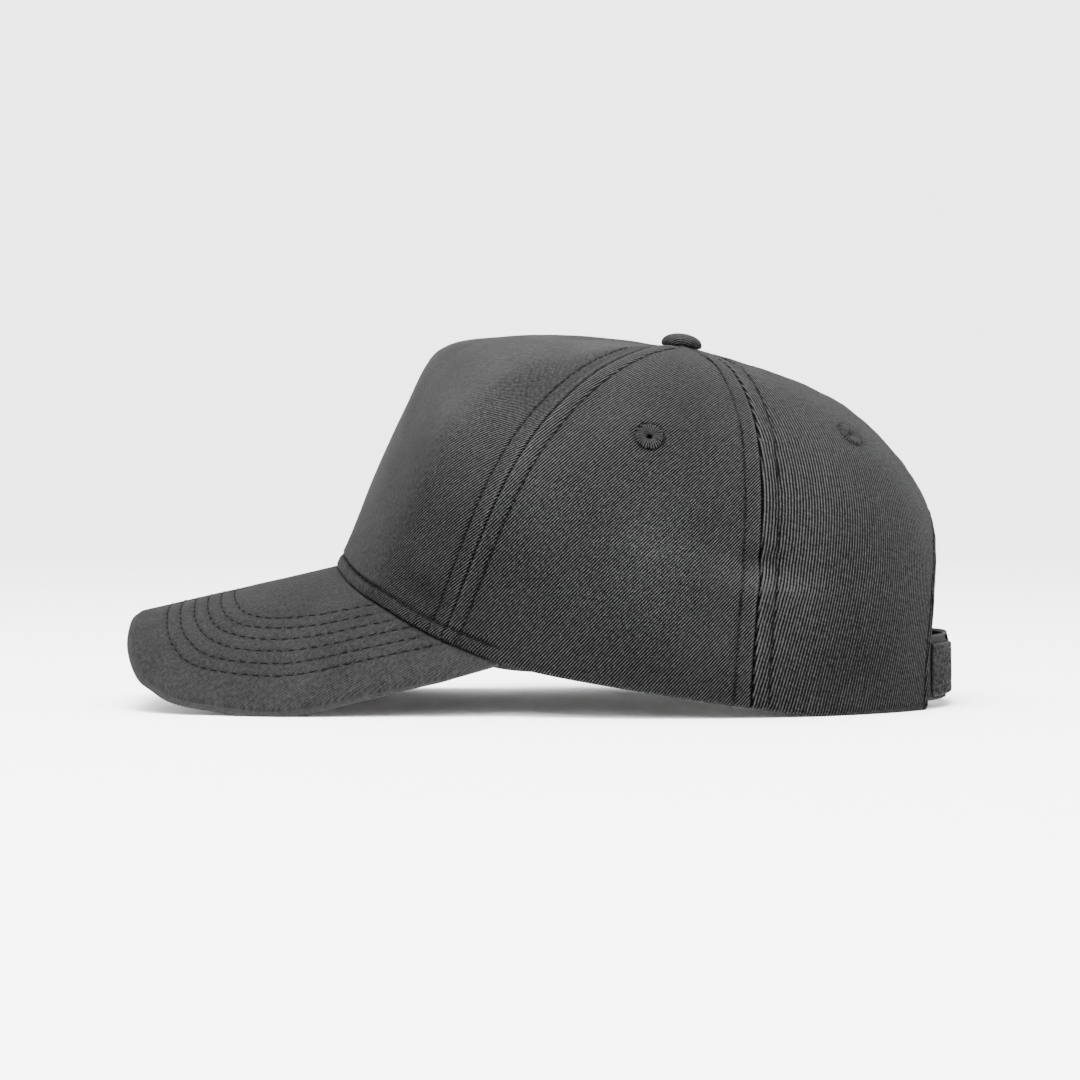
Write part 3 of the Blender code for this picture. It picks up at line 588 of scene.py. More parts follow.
def sew_rows(name, rows, radius=THREAD_RADIUS, length=STITCH_LENGTH, pitch=STITCH_PITCH):
    """Stitches along rows, each given as points on the worked cloth and the directions out of it."""
    sides = 6
    rise = np.array([-0.7, 0.35, 0.65, 0.35, -0.7])
    width = np.array([0.55, 1.0, 1.05, 1.0, 0.55])
    along_stitch = np.array([0.0, 0.2, 0.5, 0.8, 1.0])
    points, faces = [], []
    tilt = np.random.default_rng(len(name)).normal(0, 0.05, 4096)
    for line, outward in rows:
        travel = np.concatenate([[0], np.cumsum(np.linalg.norm(np.diff(line, axis=0), axis=1))])
        for start in np.arange(0.3 * pitch, travel[-1] - length, pitch):
            at = start + length * along_stitch
            spine = np.stack([np.interp(at, travel, line[:, k]) for k in range(3)], axis=1)
            up = np.array([np.interp(start + length / 2, travel, outward[:, k]) for k in range(3)])
            up /= np.linalg.norm(up)
            run = spine[-1] - spine[0]
            beside = np.cross(run, up)
            beside /= np.linalg.norm(beside)
            slant = tilt[len(points) % 4096] * length * (along_stitch - 0.5)
            spine = spine + up * (rise * radius)[:, None] + beside * slant[:, None]
            turn = np.arange(sides) * 2 * math.pi / sides
            ring = np.cos(turn)[:, None] * beside + np.sin(turn)[:, None] * up
            first = len(points) * sides * 5
            points.append((spine[:, None, :] + ring[None] * (width * radius)[:, None, None]).reshape(-1, 3))
            for level in range(4):
                for k in range(sides):
                    a, b = first + level * sides + k, first + level * sides + (k + 1) % sides
                    faces.append((a, a + sides, b + sides, b))
            faces.append(tuple(first + k for k in range(sides)))
            faces.append(tuple(first + 4 * sides + k for k in reversed(range(sides))))
    stitches = new_piece(name, np.concatenate(points), faces)
    stitches.data.materials.append(charcoal_thread)
    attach(stitches, "root")
    return stitches


def beside_line(bearing, share, offset):
    """Bearings and shares of a row that runs at an offset beside a line on the crown."""
    place, normal = on_crown(bearing, share)
    aside = np.cross(normal, np.gradient(place, axis=0))
    aside /= np.linalg.norm(aside, axis=1)[:, None]
    target = place + aside * offset
    b, s = bearing.astype(float).copy(), share.astype(float).copy()
    for _ in range(5):
        by_bearing = (on_crown(b + 0.6, s)[0] - on_crown(b - 0.6, s)[0]) / 1.2
        by_share = (on_crown(b, s + 0.004)[0] - on_crown(b, s - 0.004)[0]) / 0.008
        off = target - on_crown(b, s)[0]
        bb, ss, bs = (by_bearing**2).sum(1), (by_share**2).sum(1), (by_bearing * by_share).sum(1)
        ob, os = (off * by_bearing).sum(1), (off * by_share).sum(1)
        fixed = np.maximum(bb * ss - bs * bs, 1e-18)
        b += np.clip((ob * ss - os * bs) / fixed, -6, 6)
        s += np.clip((os * bb - ob * bs) / fixed, -0.05, 0.05)
    return b, s


def crown_row(bearing, share, relief_of):
    """A row for sewing that lies on the worked cloth."""
    place, normal = on_crown(bearing, share)
    relief = relief_of(place, bearing, share)[0]
    return place + normal * relief[:, None], normal


def side_relief(side_name):
    """A side panel's relief, with a shallow seam in front of it and a deep one behind."""
    seams = [(crown_seams["front", side_name], 0.00010, 0.00012, 0.00035),
             (crown_seams["back", side_name], 0.00014, 0.00010, 0.00080)]
    return lambda place, bearing, share: crown_relief(place, bearing, share, seams)


row_shares = np.linspace(0.10, 0.992, 260)


def seam_rows(seam, sign, relief_behind, relief_before):
    """The two rows of stitches on either side of a seam, down to the crown's foot."""
    rows = []
    line = sign * seam_bearing(seam, row_shares)
    for offset, relief_of in ((TOPSTITCH_OFFSET, relief_behind), (-TOPSTITCH_OFFSET, relief_before)):
        b, s = beside_line(line, row_shares, sign * offset)
        on_cloth = s < 0.99
        rows.append(crown_row(b[on_cloth], s[on_cloth], relief_of))
    return rows


front_rows = []
for side_name, sign in (("left", 1), ("right", -1)):
    front_rows += seam_rows(FRONT_SEAM, sign, front_relief, side_relief(side_name))
rim_row_bearings = np.linspace(-PEAK_END_BEARING - 1, PEAK_END_BEARING + 1, 300)
rim_row_shares = 1 - RIM_ROW_OFFSET / length_down(rim_row_bearings)
in_front = np.abs(rim_row_bearings) < seam_bearing(FRONT_SEAM, 1 - RIM_ROW_OFFSET / USUAL_LENGTH)
front_rows.append(crown_row(rim_row_bearings[in_front], rim_row_shares[in_front], front_relief))
for side_name, sign in (("left", 1), ("right", -1)):
    part = ~in_front & (rim_row_bearings * sign > 0)
    front_rows.append(crown_row(rim_row_bearings[part], rim_row_shares[part], side_relief(side_name)))
for offset in (DART_ROW_OFFSET, -DART_ROW_OFFSET):
    b, s = beside_line(np.zeros(40), dart_shares, offset)
    front_rows.append(crown_row(b[:34], s[:34], front_relief))
sew_rows("stitching_front", front_rows)


# Side panels
# Two soft panels of the same twill between the front panel and the back panels, each with an eyelet.
# Their lower edge is turned up with the sweatband, and their seams are pressed open and topstitched.

EYELETS = (
    # name, bearing, height above the table as a share of the crown's
    ("side", 78.5, 0.742),
    ("back", 149.0, 0.752),
)
EYELET_RADIUS = 0.0043
EYELET_BORE_RADIUS = 0.0011


def eyelet_frame(eyelet, sign):
    """Middle of an eyelet on the crown's outer face, and its axes with Z out of the cloth."""
    bearing = sign * eyelet[1]
    share = share_at_height(bearing, eyelet[2] * CROWN_HEIGHT)
    place, normal = on_crown(bearing, share)
    turn = Vector(normal).to_track_quat("Z", "Y").to_matrix()
    return place, np.array(turn)


def gather_eyelet(relief_of, eyelet, sign):
    """The same relief with the cloth drawn in round an eyelet."""
    middle = eyelet_frame(eyelet, sign)[0]

    def drawn_in(place, bearing, share):
        relief, painted_shade_and_wear = relief_of(place, bearing, share)
        away = np.linalg.norm(place - middle, axis=-1)
        sunk = np.exp(-((away - EYELET_RADIUS) / 0.0008) ** 2)
        # Painted shade in the hollow round the eyelet and on the cloth under its ring.
        return relief - 0.00035 * sunk, painted_shade_and_wear - 0.6 * sunk - 1.2 * (away < EYELET_RADIUS)
    return drawn_in


def punch(panel, eyelet, sign):
    """Bore the cloth through where the eyelet's hole is."""
    place, axes = eyelet_frame(eyelet, sign)
    sides = 28
    turn = np.arange(sides) * 2 * math.pi / sides
    ring = (np.cos(turn)[:, None] * axes[:, 0] + np.sin(turn)[:, None] * axes[:, 1]) * EYELET_BORE_RADIUS * 1.8
    points = np.concatenate([place + ring + axes[:, 2] * 0.006, place + ring - axes[:, 2] * 0.006])
    faces = [tuple(range(sides)), tuple(range(2 * sides - 1, sides - 1, -1))]
    faces += [(k + sides, (k + 1) % sides + sides, (k + 1) % sides, k) for k in range(sides)]
    tool = new_piece("punch", points, faces)
    tool.data.shade_flat()
    hole = panel.modifiers.new("hole", "BOOLEAN")
    hole.operation, hole.solver, hole.object = "DIFFERENCE", "EXACT", tool
    bpy.context.view_layer.update()
    punched = bpy.data.meshes.new_from_object(panel.evaluated_get(bpy.context.evaluated_depsgraph_get()))
    panel.modifiers.clear()
    panel.data = punched
    bpy.data.objects.remove(tool, do_unlink=True)


for side_name, sign in (("left", 1), ("right", -1)):
    relief_of = gather_eyelet(side_relief(side_name), EYELETS[0], sign)
    edges = [seam_side(FRONT_SEAM, sign, 1, panel_shares), seam_side(BACK_SEAM, sign, -1, panel_shares)]
    panel = sew_panel(f"side_panel_{side_name}", *edges[::sign], flat_cut(55.0), relief_of, SOFT_PANEL_COLUMNS)
    punch(panel, EYELETS[0], sign)


# Back panels
# Two panels of the same twill that meet in a seam down the back and stop at the arch of the opening.
# The arch is hemmed with one row of stitches 2.6 mm from its edge.

OPENING_WIDTH = 0.072
OPENING_HEIGHT = 0.064
ARCH_ROW_OFFSET = 0.0026


def bearing_at_lateral(lateral, height):
    """Bearing at the back of the crown where it is this far from the middle at a height."""
    bearing = 170.0
    for _ in range(12):
        place = on_crown(bearing, share_at_height(bearing, height))[0]
        bearing = 180 - math.degrees(math.asin(lateral / math.hypot(place[0], place[1] - AXIS_BACK)))
    return bearing


ARCH_STEPS = 64
SEAM_ROWS = 100
arch_top = share_at_height(180.0, OPENING_HEIGHT)
arch_edge = []
for step in range(ARCH_STEPS + 1):
    turn = math.pi / 2 * (1 - step / ARCH_STEPS)
    height = OPENING_HEIGHT * math.sin(turn)
    bearing = bearing_at_lateral(OPENING_WIDTH / 2 * math.cos(turn), height)
    arch_edge.append((bearing, share_at_height(bearing, height) if step < ARCH_STEPS else 1.0))
arch_edge = np.array(arch_edge)
arch_lines = {side: crown_line(sign * arch_edge[:, 0], arch_edge[:, 1])
              for side, sign in (("left", 1), ("right", -1))}
rear_seam_line = crown_line(np.full(120, 180.0), np.linspace(first_share, arch_top, 120))
rear_shares = np.concatenate([np.linspace(first_share, arch_top, SEAM_ROWS), arch_edge[1:, 1]])
rear_bearings = np.concatenate([np.full(SEAM_ROWS, 180.0), arch_edge[1:, 0]])


def hung_map(place, bearing, share):
    """The back panels' cloth map, measured round and down from a line through the panel's middle."""
    middle, snugness = 146.0, 820.0
    reach = np.hypot(place[..., 0], place[..., 1] - AXIS_BACK)
    around = np.radians(np.abs(bearing) - middle) * reach * np.sign(bearing)
    return on_grain(around * snugness, share * length_down(middle) * snugness, 74.0)


def back_relief(side_name):
    """A back panel's relief, with both its seams, and the hem round the opening."""
    seams = [(crown_seams["back", side_name], 0.00012, 0.00036, 0.00080),
             (rear_seam_line, 0.00014, 0.00008, 0.00060)]
    arch = arch_lines[side_name]

    def worked(place, bearing, share):
        relief, painted_shade_and_wear = crown_relief(place, bearing, share, seams)
        distance, along = away_from(place, arch)
        relief += stitched_fold(distance, along, ARCH_ROW_OFFSET, 0.00016, 0.00006, 51)
        relief -= turned_edge(distance, 0.0008)
        # Painted shade along the hem's row of stitches.
        painted_shade_and_wear -= 0.5 * near(distance, ARCH_ROW_OFFSET, SEAM_LINE_BREADTH)
        return relief, painted_shade_and_wear + 0.5 * near(distance, 0, 0.0006)
    return worked


back_rows = []
for side_name, sign in (("left", 1), ("right", -1)):
    relief_of = gather_eyelet(back_relief(side_name), EYELETS[1], sign)
    place = on_crown(rear_bearings, rear_shares)[0]
    gap = np.degrees(SEAM_GAP / np.hypot(place[:, 0], place[:, 1] - AXIS_BACK))
    even_shares = first_share + (1 - first_share) * np.linspace(0, 1, len(rear_shares))
    edges = [seam_side(BACK_SEAM, sign, 1, even_shares), (sign * (rear_bearings - gap), rear_shares)]
    panel = sew_panel(f"back_panel_{side_name}", *edges[::sign], hung_map, relief_of, SOFT_PANEL_COLUMNS)
    punch(panel, EYELETS[1], sign)
    back_rows += seam_rows(BACK_SEAM, sign, side_relief(side_name), back_relief(side_name))
    b, s = beside_line(sign * arch_edge[:, 0], arch_edge[:, 1], -sign * ARCH_ROW_OFFSET)
    on_cloth = (s < 0.99) & (np.abs(b) < 179.2)
    back_rows.append(crown_row(b[on_cloth], s[on_cloth], back_relief(side_name)))
    seam_places = np.linspace(0.10, arch_top - 0.01, 90)
    middle = on_crown(np.full(90, 180.0), seam_places)[0]
    aside = np.degrees(TOPSTITCH_OFFSET / np.hypot(middle[:, 0], middle[:, 1] - AXIS_BACK))
    back_rows.append(crown_row(sign * (180 - aside), seam_places, back_relief(side_name)))
sew_rows("stitching_back", back_rows)


# Peak
# A stiff board covered with twill on both faces, curved from side to side and closed round its edge.
# Six rows of stitches hold the two covers to the board, and its ends are sewn in under the rim.

PEAK_LENGTH = 0.0693
PEAK_WIDTH = 0.139
PEAK_THICKNESS = 0.0028
PEAK_SLOPE = math.radians(12.9)
PEAK_DROOP = 8.97336              # its height falls by this times the square of the way to the side
PEAK_END_STEP = 0.0015
PEAK_SETTLING = 0.03
PEAK_END_THICKNESS = 0.0006
PEAK_THINNING = 15.0
PEAK_CLEARANCE = 0.0003
PEAK_OUTLINE = (
    # share of the half width, share of the way from the peak's ends to its tip
    (0.0, 1.0),
    (0.26, 0.998),
    (0.48, 0.987),
    (0.66, 0.953),
    (0.755, 0.907),
    (0.855, 0.823),
    (0.965, 0.627),
    (0.997, 0.507),
    (1.0, 0.355),
)
PEAK_ROWS = (0.0134, 0.0179, 0.0226, 0.0271, 0.0315, 0.0361)
PEAK_STITCH_PITCH = 0.0038
PEAK_STITCH_LENGTH = 0.0027
PEAK_THREAD_RADIUS = 0.00021
PEAK_GRAIN = 70.0
PEAK_COLUMNS = 280
PEAK_STEPS = 84                   # from the rim to the edge
ROUNDED_EDGE = 9
TABLE_GAP = 0.00002               # the cover lies no lower than this


def peak_outline():
    """Plan of the peak's edge from its right end to its left end, at even steps."""
    end_reach = float(rim_reach(PEAK_END_BEARING))
    end = (end_reach * math.sin(math.radians(PEAK_END_BEARING)),
           -end_reach * math.cos(math.radians(PEAK_END_BEARING)))
    tip = -float(rim_reach(0.0)) - PEAK_LENGTH
    left = [(PEAK_WIDTH / 2 * across, end[1] + (tip - end[1]) * forward) for across, forward in PEAK_OUTLINE]
    left.append((end[0] + PEAK_END_STEP, end[1]))
    points = np.array([(-x, y) for x, y in reversed(left)] + left[1:])
    before = np.vstack([2 * points[0] - points[1], points[:-1]])
    after = np.vstack([points[1:], 2 * points[-1] - points[-2]])
    fine = []
    for i in range(len(points) - 1):
        leave, arrive = (after[i] - before[i]) / 2, (after[i + 1] - before[i + 1]) / 2
        for s in np.linspace(0, 1, 40, endpoint=False):
            fine.append((2 * s**3 - 3 * s**2 + 1) * points[i] + (s**3 - 2 * s**2 + s) * leave
                        + (3 * s**2 - 2 * s**3) * points[i + 1] + (s**3 - s**2) * arrive)
    fine = np.array([*fine, points[-1]])
    travel = np.concatenate([[0], np.cumsum(np.linalg.norm(np.diff(fine, axis=0), axis=1))])
    wanted = np.linspace(0, travel[-1], PEAK_COLUMNS + 1)
    return np.stack([np.interp(wanted, travel, fine[:, k]) for k in range(2)], axis=1)


peak_edge = peak_outline()
peak_bearings = PEAK_END_BEARING * (2 * np.arange(PEAK_COLUMNS + 1) / PEAK_COLUMNS - 1)
peak_rim = on_crown(peak_bearings, np.ones(PEAK_COLUMNS + 1))[0] - np.array([0, AXIS_BACK, 0])
front_of_rim = -float(rim_reach(0.0))


def peak_height(x, y):
    """Height of the peak's own curve, apart from where it settles on to the rim."""
    ridge = FRONT_RIM_HEIGHT - PEAK_CLEARANCE + math.tan(PEAK_SLOPE) * (y - front_of_rim)
    return ridge - PEAK_DROOP * x * x


def peak_place(column, step):
    """Points of the peak's top face and the direction up through its board, upright at the rim."""
    rim, edge = peak_rim[column], peak_edge[column]
    x = rim[..., 0] + (edge[..., 0] - rim[..., 0]) * step
    y = rim[..., 1] + (edge[..., 1] - rim[..., 1]) * step
    run = np.hypot(edge[..., 0] - rim[..., 0], edge[..., 1] - rim[..., 1])
    lift = rim[..., 2] - PEAK_CLEARANCE - peak_height(rim[..., 0], rim[..., 1])
    z = peak_height(x, y) + lift * np.maximum(0, 1 - step * run / PEAK_SETTLING) ** 2
    normal = np.stack([2 * PEAK_DROOP * x, np.full(x.shape, -math.tan(PEAK_SLOPE)), np.ones(x.shape)], axis=-1)
    normal /= np.linalg.norm(normal, axis=-1, keepdims=True)
    square = np.minimum(1, step * run / (3 * PEAK_THICKNESS))[..., None]
    upright = np.stack([0 * x, 0 * x, 1 / normal[..., 2]], axis=-1)
    return np.stack([x, y + AXIS_BACK, z], axis=-1), normal * square + upright * (1 - square)


peak_edge_line = peak_place(np.arange(PEAK_COLUMNS + 1), np.ones(PEAK_COLUMNS + 1))[0]
behind = np.arange(1, 40)[:, None] * np.array([[0.0, 0.002, 0.0]])
long_edge = np.concatenate([peak_edge_line[0] + behind[::-1], peak_edge_line, peak_edge_line[-1] + behind])
edge_pieces = (long_edge[1:] + long_edge[:-1]) / 2
edge_lengths = np.linalg.norm(np.diff(long_edge, axis=0), axis=1)


def peak_inset(place):
    """Distance in from the edge, first blended so that rows turn its corners in a curve, then plain."""
    flat = place.reshape(-1, 3)
    pull = []
    for part in np.array_split(flat, 40):
        squares = ((part[:, None] - edge_pieces) ** 2).sum(2)
        pull.append((edge_lengths / np.maximum(squares, 1e-7) ** 4).sum(1))
    pull = np.concatenate(pull)
    blended = (pull / 0.98175) ** (-1 / 7)
    toward_side = np.minimum(1, np.abs(flat[:, 0]) / 0.040) ** 3
    return (blended / (1 + 0.12 * toward_side)).reshape(place.shape[:-1]), away_from(place, peak_edge_line)[0]


def peak_relief(place, seed, rounding):
    """A shallow valley along each row of stitches, and the edge where the two covers are closed, with a tone:
    worn at the edge, painted shade in the rows' valleys, darker all over.
    """
    inset, distance = peak_inset(place)
    relief = 0.00007 * rumple(place[..., 0] / 0.008, place[..., 1] / 0.008, seed)
    for row in PEAK_ROWS:
        relief -= 0.00020 * near(inset, row, 0.0006)
    relief -= rounding * near(distance, 0, 0.0016)
    to_row = np.abs(inset[..., None] - np.array(PEAK_ROWS)).min(-1)
    # Tone: lighter at the closed edge, painted shade in the rows' valleys, and darker all over.
    return relief, 0.06 * near(distance, 0, 0.0010) - 0.10 * near(to_row, 0, 0.0005) - 0.16


column = np.arange(PEAK_COLUMNS + 1)[None, :]
steps = (1 - (1 - np.linspace(0, 1, PEAK_STEPS)) ** 1.25)[:, None]
tuck = np.clip((np.abs(peak_bearings) - 42.5) / 5.5, 0, 1) ** 2     # its ends are pushed in under the rim
top, through = peak_place(np.broadcast_to(column, (PEAK_STEPS, PEAK_COLUMNS + 1)),
                          steps * (1 - 0.9 * tuck[None]))
top = top + tuck[None, :, None] * np.array([0.0, 0.0, 0.0005])
to_end = np.minimum(1, (PEAK_END_BEARING - np.abs(peak_bearings)) / PEAK_THINNING)
thickness = PEAK_END_THICKNESS + (PEAK_THICKNESS - PEAK_END_THICKNESS) * to_end
under = top - through * thickness[None, :, None]
outward = top[-1] - top[-6]
outward /= np.linalg.norm(outward, axis=1)[:, None]
radius = np.minimum(thickness, np.linalg.norm(top[-1] - top[0], axis=1)) / 2
to_edge = np.linalg.norm(top - top[-1], axis=2)
pulled = np.clip(1 - to_edge / 0.003, 0, 1) * radius[None, :]
top_relief, painted_shade_and_wear = peak_relief(top, 60, 0.00075)
under_relief = peak_relief(top, 90, 0.00020)[0]
top_face = top + through * top_relief[..., None] - outward[None] * pulled[..., None]
under_face = under - through * under_relief[..., None] - outward[None] * pulled[..., None]
turns = np.linspace(math.pi / 2, -math.pi / 2, ROUNDED_EDGE + 2)[1:-1]
middle = (top_face[-1] + under_face[-1]) / 2
half = (top_face[-1] - under_face[-1]) / 2
rounded = np.array([middle + half * math.sin(turn) + outward * radius[:, None] * math.cos(turn)
                    for turn in turns])
root = on_crown(peak_bearings, np.ones(PEAK_COLUMNS + 1))
root_top = root[0] - root[1] * CLOTH_WALL - np.array([0, 0, PEAK_CLEARANCE])
root_under = root_top - through[0] * thickness[:, None]
peak_loop = np.concatenate([root_top[None], top_face, rounded, under_face[::-1], root_under[None]])
peak_loop[..., 2] = np.maximum(peak_loop[..., 2], TABLE_GAP)
loop_count = len(peak_loop)
peak_points = peak_loop.transpose(1, 0, 2).reshape(-1, 3)
peak_faces = []
for i in range(PEAK_COLUMNS):
    for k in range(loop_count):
        a, b = i * loop_count + k, i * loop_count + (k + 1) % loop_count
        peak_faces.append((a, b, b + loop_count, a + loop_count))
for start, flip in ((0, 1), (PEAK_COLUMNS * loop_count, -1)):
    for k in range(loop_count // 2 - 1):
        corners = (start + k, start + loop_count - 1 - k, start + loop_count - 2 - k, start + k + 1)
        peak_faces.append(tuple(dict.fromkeys(corners))[::flip])
peak = new_piece("peak_cover", peak_points, peak_faces)
corners = corner_points(peak.data)


def peak_flat(points):
    return on_grain(points[..., 0] * 1150, points[..., 1] * 1000, PEAK_GRAIN)


round_edge = slice(PEAK_STEPS, PEAK_STEPS + ROUNDED_EDGE + 2)
rolled = np.cumsum(np.linalg.norm(np.diff(peak_loop[round_edge], axis=0), axis=2), axis=0)
edge_loop = peak_loop.copy()
edge_loop[PEAK_STEPS + 1:PEAK_STEPS + ROUNDED_EDGE + 2] = top_face[-1] + outward * rolled[..., None]
level = np.repeat(np.tile(np.arange(loop_count), PEAK_COLUMNS), 4)
on_edge = np.zeros(len(corners), bool)
on_edge[:len(level)] = (level >= PEAK_STEPS) & (level < PEAK_STEPS + ROUNDED_EDGE + 1)
over = peak_flat(edge_loop.transpose(1, 0, 2).reshape(-1, 3))[corners]
lay_cloth(peak.data, np.where(on_edge[:, None], over, peak_flat(peak_points)[corners]))
# The peak's stored tone: worn edges and painted shade along the rows of stitches.
peak_painted_shade_and_wear = np.zeros((loop_count, PEAK_COLUMNS + 1))
peak_painted_shade_and_wear[1:PEAK_STEPS + 1] = painted_shade_and_wear
peak_painted_shade_and_wear[PEAK_STEPS + 1:PEAK_STEPS + 1 + ROUNDED_EDGE] = np.linspace(-0.12, 0.5, ROUNDED_EDGE)[:, None]
peak_painted_shade_and_wear[PEAK_STEPS + 1 + ROUNDED_EDGE:-1] = painted_shade_and_wear[::-1]
mark_points(peak.data, "wear_and_painted_shade", peak_painted_shade_and_wear.T)
peak_nap = np.ones((loop_count, PEAK_COLUMNS + 1))
peak_nap[1:PEAK_STEPS + 1] = 0.84 + 0.16 * near(to_edge, 0, 0.0022)
peak_nap[PEAK_STEPS + 1 + ROUNDED_EDGE:-1] = peak_nap[PEAK_STEPS:0:-1]
mark_points(peak.data, "nap", peak_nap.T)
peak.data.materials.append(charcoal_twill)
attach(peak, "root")
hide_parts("peak")

peak_top_rows, peak_under_rows = [], []
inset = peak_inset(top)[0]
for row in PEAK_ROWS:
    on_top, out_top, on_under, out_under = [], [], [], []
    for i in range(PEAK_COLUMNS + 1):
        if inset[0, i] < row:     # the row ends where it reaches the rim
            continue
        at = np.interp(-row, -inset[:, i], np.arange(PEAK_STEPS))
        k = min(int(at), PEAK_STEPS - 2)
        part = at - k
        on_top.append(top_face[k, i] * (1 - part) + top_face[k + 1, i] * part)
        on_under.append(under_face[k, i] * (1 - part) + under_face[k + 1, i] * part)
        out_top.append(through[k, i])
        out_under.append(-through[k, i])
    peak_top_rows.append((np.array(on_top), np.array(out_top)))
    peak_under_rows.append((np.array(on_under), np.array(out_under)))
sew_rows("stitching_peak_top", peak_top_rows, PEAK_THREAD_RADIUS, PEAK_STITCH_LENGTH, PEAK_STITCH_PITCH)
sew_rows("stitching_peak_underside", peak_under_rows, THREAD_RADIUS, PEAK_STITCH_LENGTH, PEAK_STITCH_PITCH)


# Sweatband
# A folded band of soft cotton tape inside the rim, sewn up with the crown's lower edge.
# It runs from one side of the rear opening round the front to the other.

BAND_HEIGHT = 0.028
BAND_WALL = 0.0012
BAND_END_BEARING = 146.09         # where the strap's tabs begin
BAND_DEPTH = CLOTH_WALL + 0.0005
BAND_ROW_OFFSET = 0.0026
band_bearings = np.linspace(-BAND_END_BEARING, BAND_END_BEARING, 420)
band_lengths = length_down(band_bearings)
band_drop = np.interp(np.abs(band_bearings), [PEAK_END_BEARING - 4, PEAK_END_BEARING + 8],
                      [PEAK_CLEARANCE + PEAK_THICKNESS, -PEAK_CLEARANCE])
band_steps = graded(26, 0.6)[:, None]
band_top, band_foot = 1 - (BAND_HEIGHT - band_drop) / band_lengths, 1 + band_drop / band_lengths
band_share = band_top[None] * (1 - band_steps) + band_foot[None] * band_steps
band_place, band_normal = on_crown(np.broadcast_to(band_bearings[None], band_share.shape), band_share)
band_run = np.cumsum(np.linalg.norm(np.diff(band_place[0], axis=0, prepend=band_place[0, :1]), axis=1))
from_edge = np.minimum(band_steps, 1 - band_steps) * BAND_HEIGHT + 0 * band_share
swell = 0.00018 * np.clip(from_edge / 0.002, 0, 1) - 0.00030 * near(from_edge, BAND_ROW_OFFSET, 0.0006)
swell += 0.00012 * wander(band_run[None] / 0.006 + 3 * band_steps, 71) * np.clip(from_edge / 0.004, 0, 1)
rolled = turned_edge(from_edge, BAND_WALL / 2)
band_outer = band_place - band_normal * (BAND_DEPTH + rolled)[..., None]
band_inner = band_place - band_normal * (BAND_DEPTH + BAND_WALL - rolled + swell)[..., None]
band_flat = np.stack(np.broadcast_arrays(band_run[None] * 1000, BAND_HEIGHT * 1000 * band_steps), axis=2)
sweatband = cloth_piece("sweatband_tape", band_outer, band_inner, band_flat, 0.5 * near(from_edge, 0, 0.0008))


def cotton_tape(name, dark, light):
    """Plain ribbed tape: fine cross ribs and soft fibre."""
    material, tree, shader = new_finish(name, 0.9, 0.05)
    flat = wire(tree, "ShaderNodeUVMap", {}, uv_map="cloth").outputs["UV"]
    height = weighed(tree, (thread_lines(tree, flat, 0.55, "X", 0.8, 1.0), 0.5),
                     (thread_lines(tree, flat, 0.5, "Y", 0.8, 1.0), 0.4), (specks(tree, flat, 2.0, 4.0), 0.5))
    share = wire(tree, "ShaderNodeMapRange", {0: height, 1: 0.2, 2: 1.3}).outputs[0]
    tree.links.new(blend_colours(tree, share, dark, light), shader.inputs["Base Color"])
    raise_threads(tree, shader, height, 0.8, 0.00012)
    shader.inputs["Sheen Weight"].default_value = 0.01
    return material


charcoal_tape = cotton_tape("charcoal_tape", (0.006, 0.006, 0.006), (0.030, 0.030, 0.031))
sweatband.data.materials.append(charcoal_tape)
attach(sweatband, "root")
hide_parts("sweatband")
band_rows = []
for row_height in (BAND_ROW_OFFSET, BAND_HEIGHT - BAND_ROW_OFFSET):
    s = row_height / BAND_HEIGHT
    place, normal = on_crown(band_bearings, band_top * (1 - s) + band_foot * s)
    band_rows.append((place - normal * (BAND_DEPTH + BAND_WALL - 0.00016), -normal))
sew_rows("stitching_sweatband", band_rows)


# Button
# A small pressed shell covered with the same twill, drawn tight over it and tucked in underneath.
# Its stem goes through the meeting of the seams, and a disc holds it inside the crown.

BUTTON_RADIUS = 0.00695
BUTTON_HEIGHT = 0.0046
BUTTON_TILT = math.radians(-7.0)
BACKING_RADIUS = 0.005
BACKING_THICKNESS = 0.001
BUTTON_CLEARANCE = 0.0003


def turned_piece(name, profile, segments, ruffle):
    """Turn a closed outline of radius and height round Z, with a change of its points."""
    turn = np.arange(segments) * 2 * math.pi / segments
    profile = np.array(profile)
    count = len(profile)
    radius = np.broadcast_to(profile[:, 0], (segments, count))
    height = np.broadcast_to(profile[:, 1], (segments, count))
    radius, height = ruffle(turn[:, None], radius, height)
    points = np.stack([radius * np.cos(turn)[:, None], radius * np.sin(turn)[:, None], height], axis=2)
    faces = []
    for i in range(segments):
        for k in range(count):
            a, b = i * count + k, i * count + (k + 1) % count
            c, d = (i + 1) % segments * count + (k + 1) % count, (i + 1) % segments * count + k
            faces.append((a, d, c, b))
    return new_piece(name, points.reshape(-1, 3), faces)


def tucked(turn, radius, height):
    """Small folds where the cover is drawn in under the button's edge."""
    low = np.exp(-(height / 0.0011) ** 2) * (radius > 0.0055) * (height > -0.0001)
    fold = np.sin(17 * turn) * 0.5 + np.sin(29 * turn + 1.0) * 0.5
    return radius + 0.00009 * fold * low, height


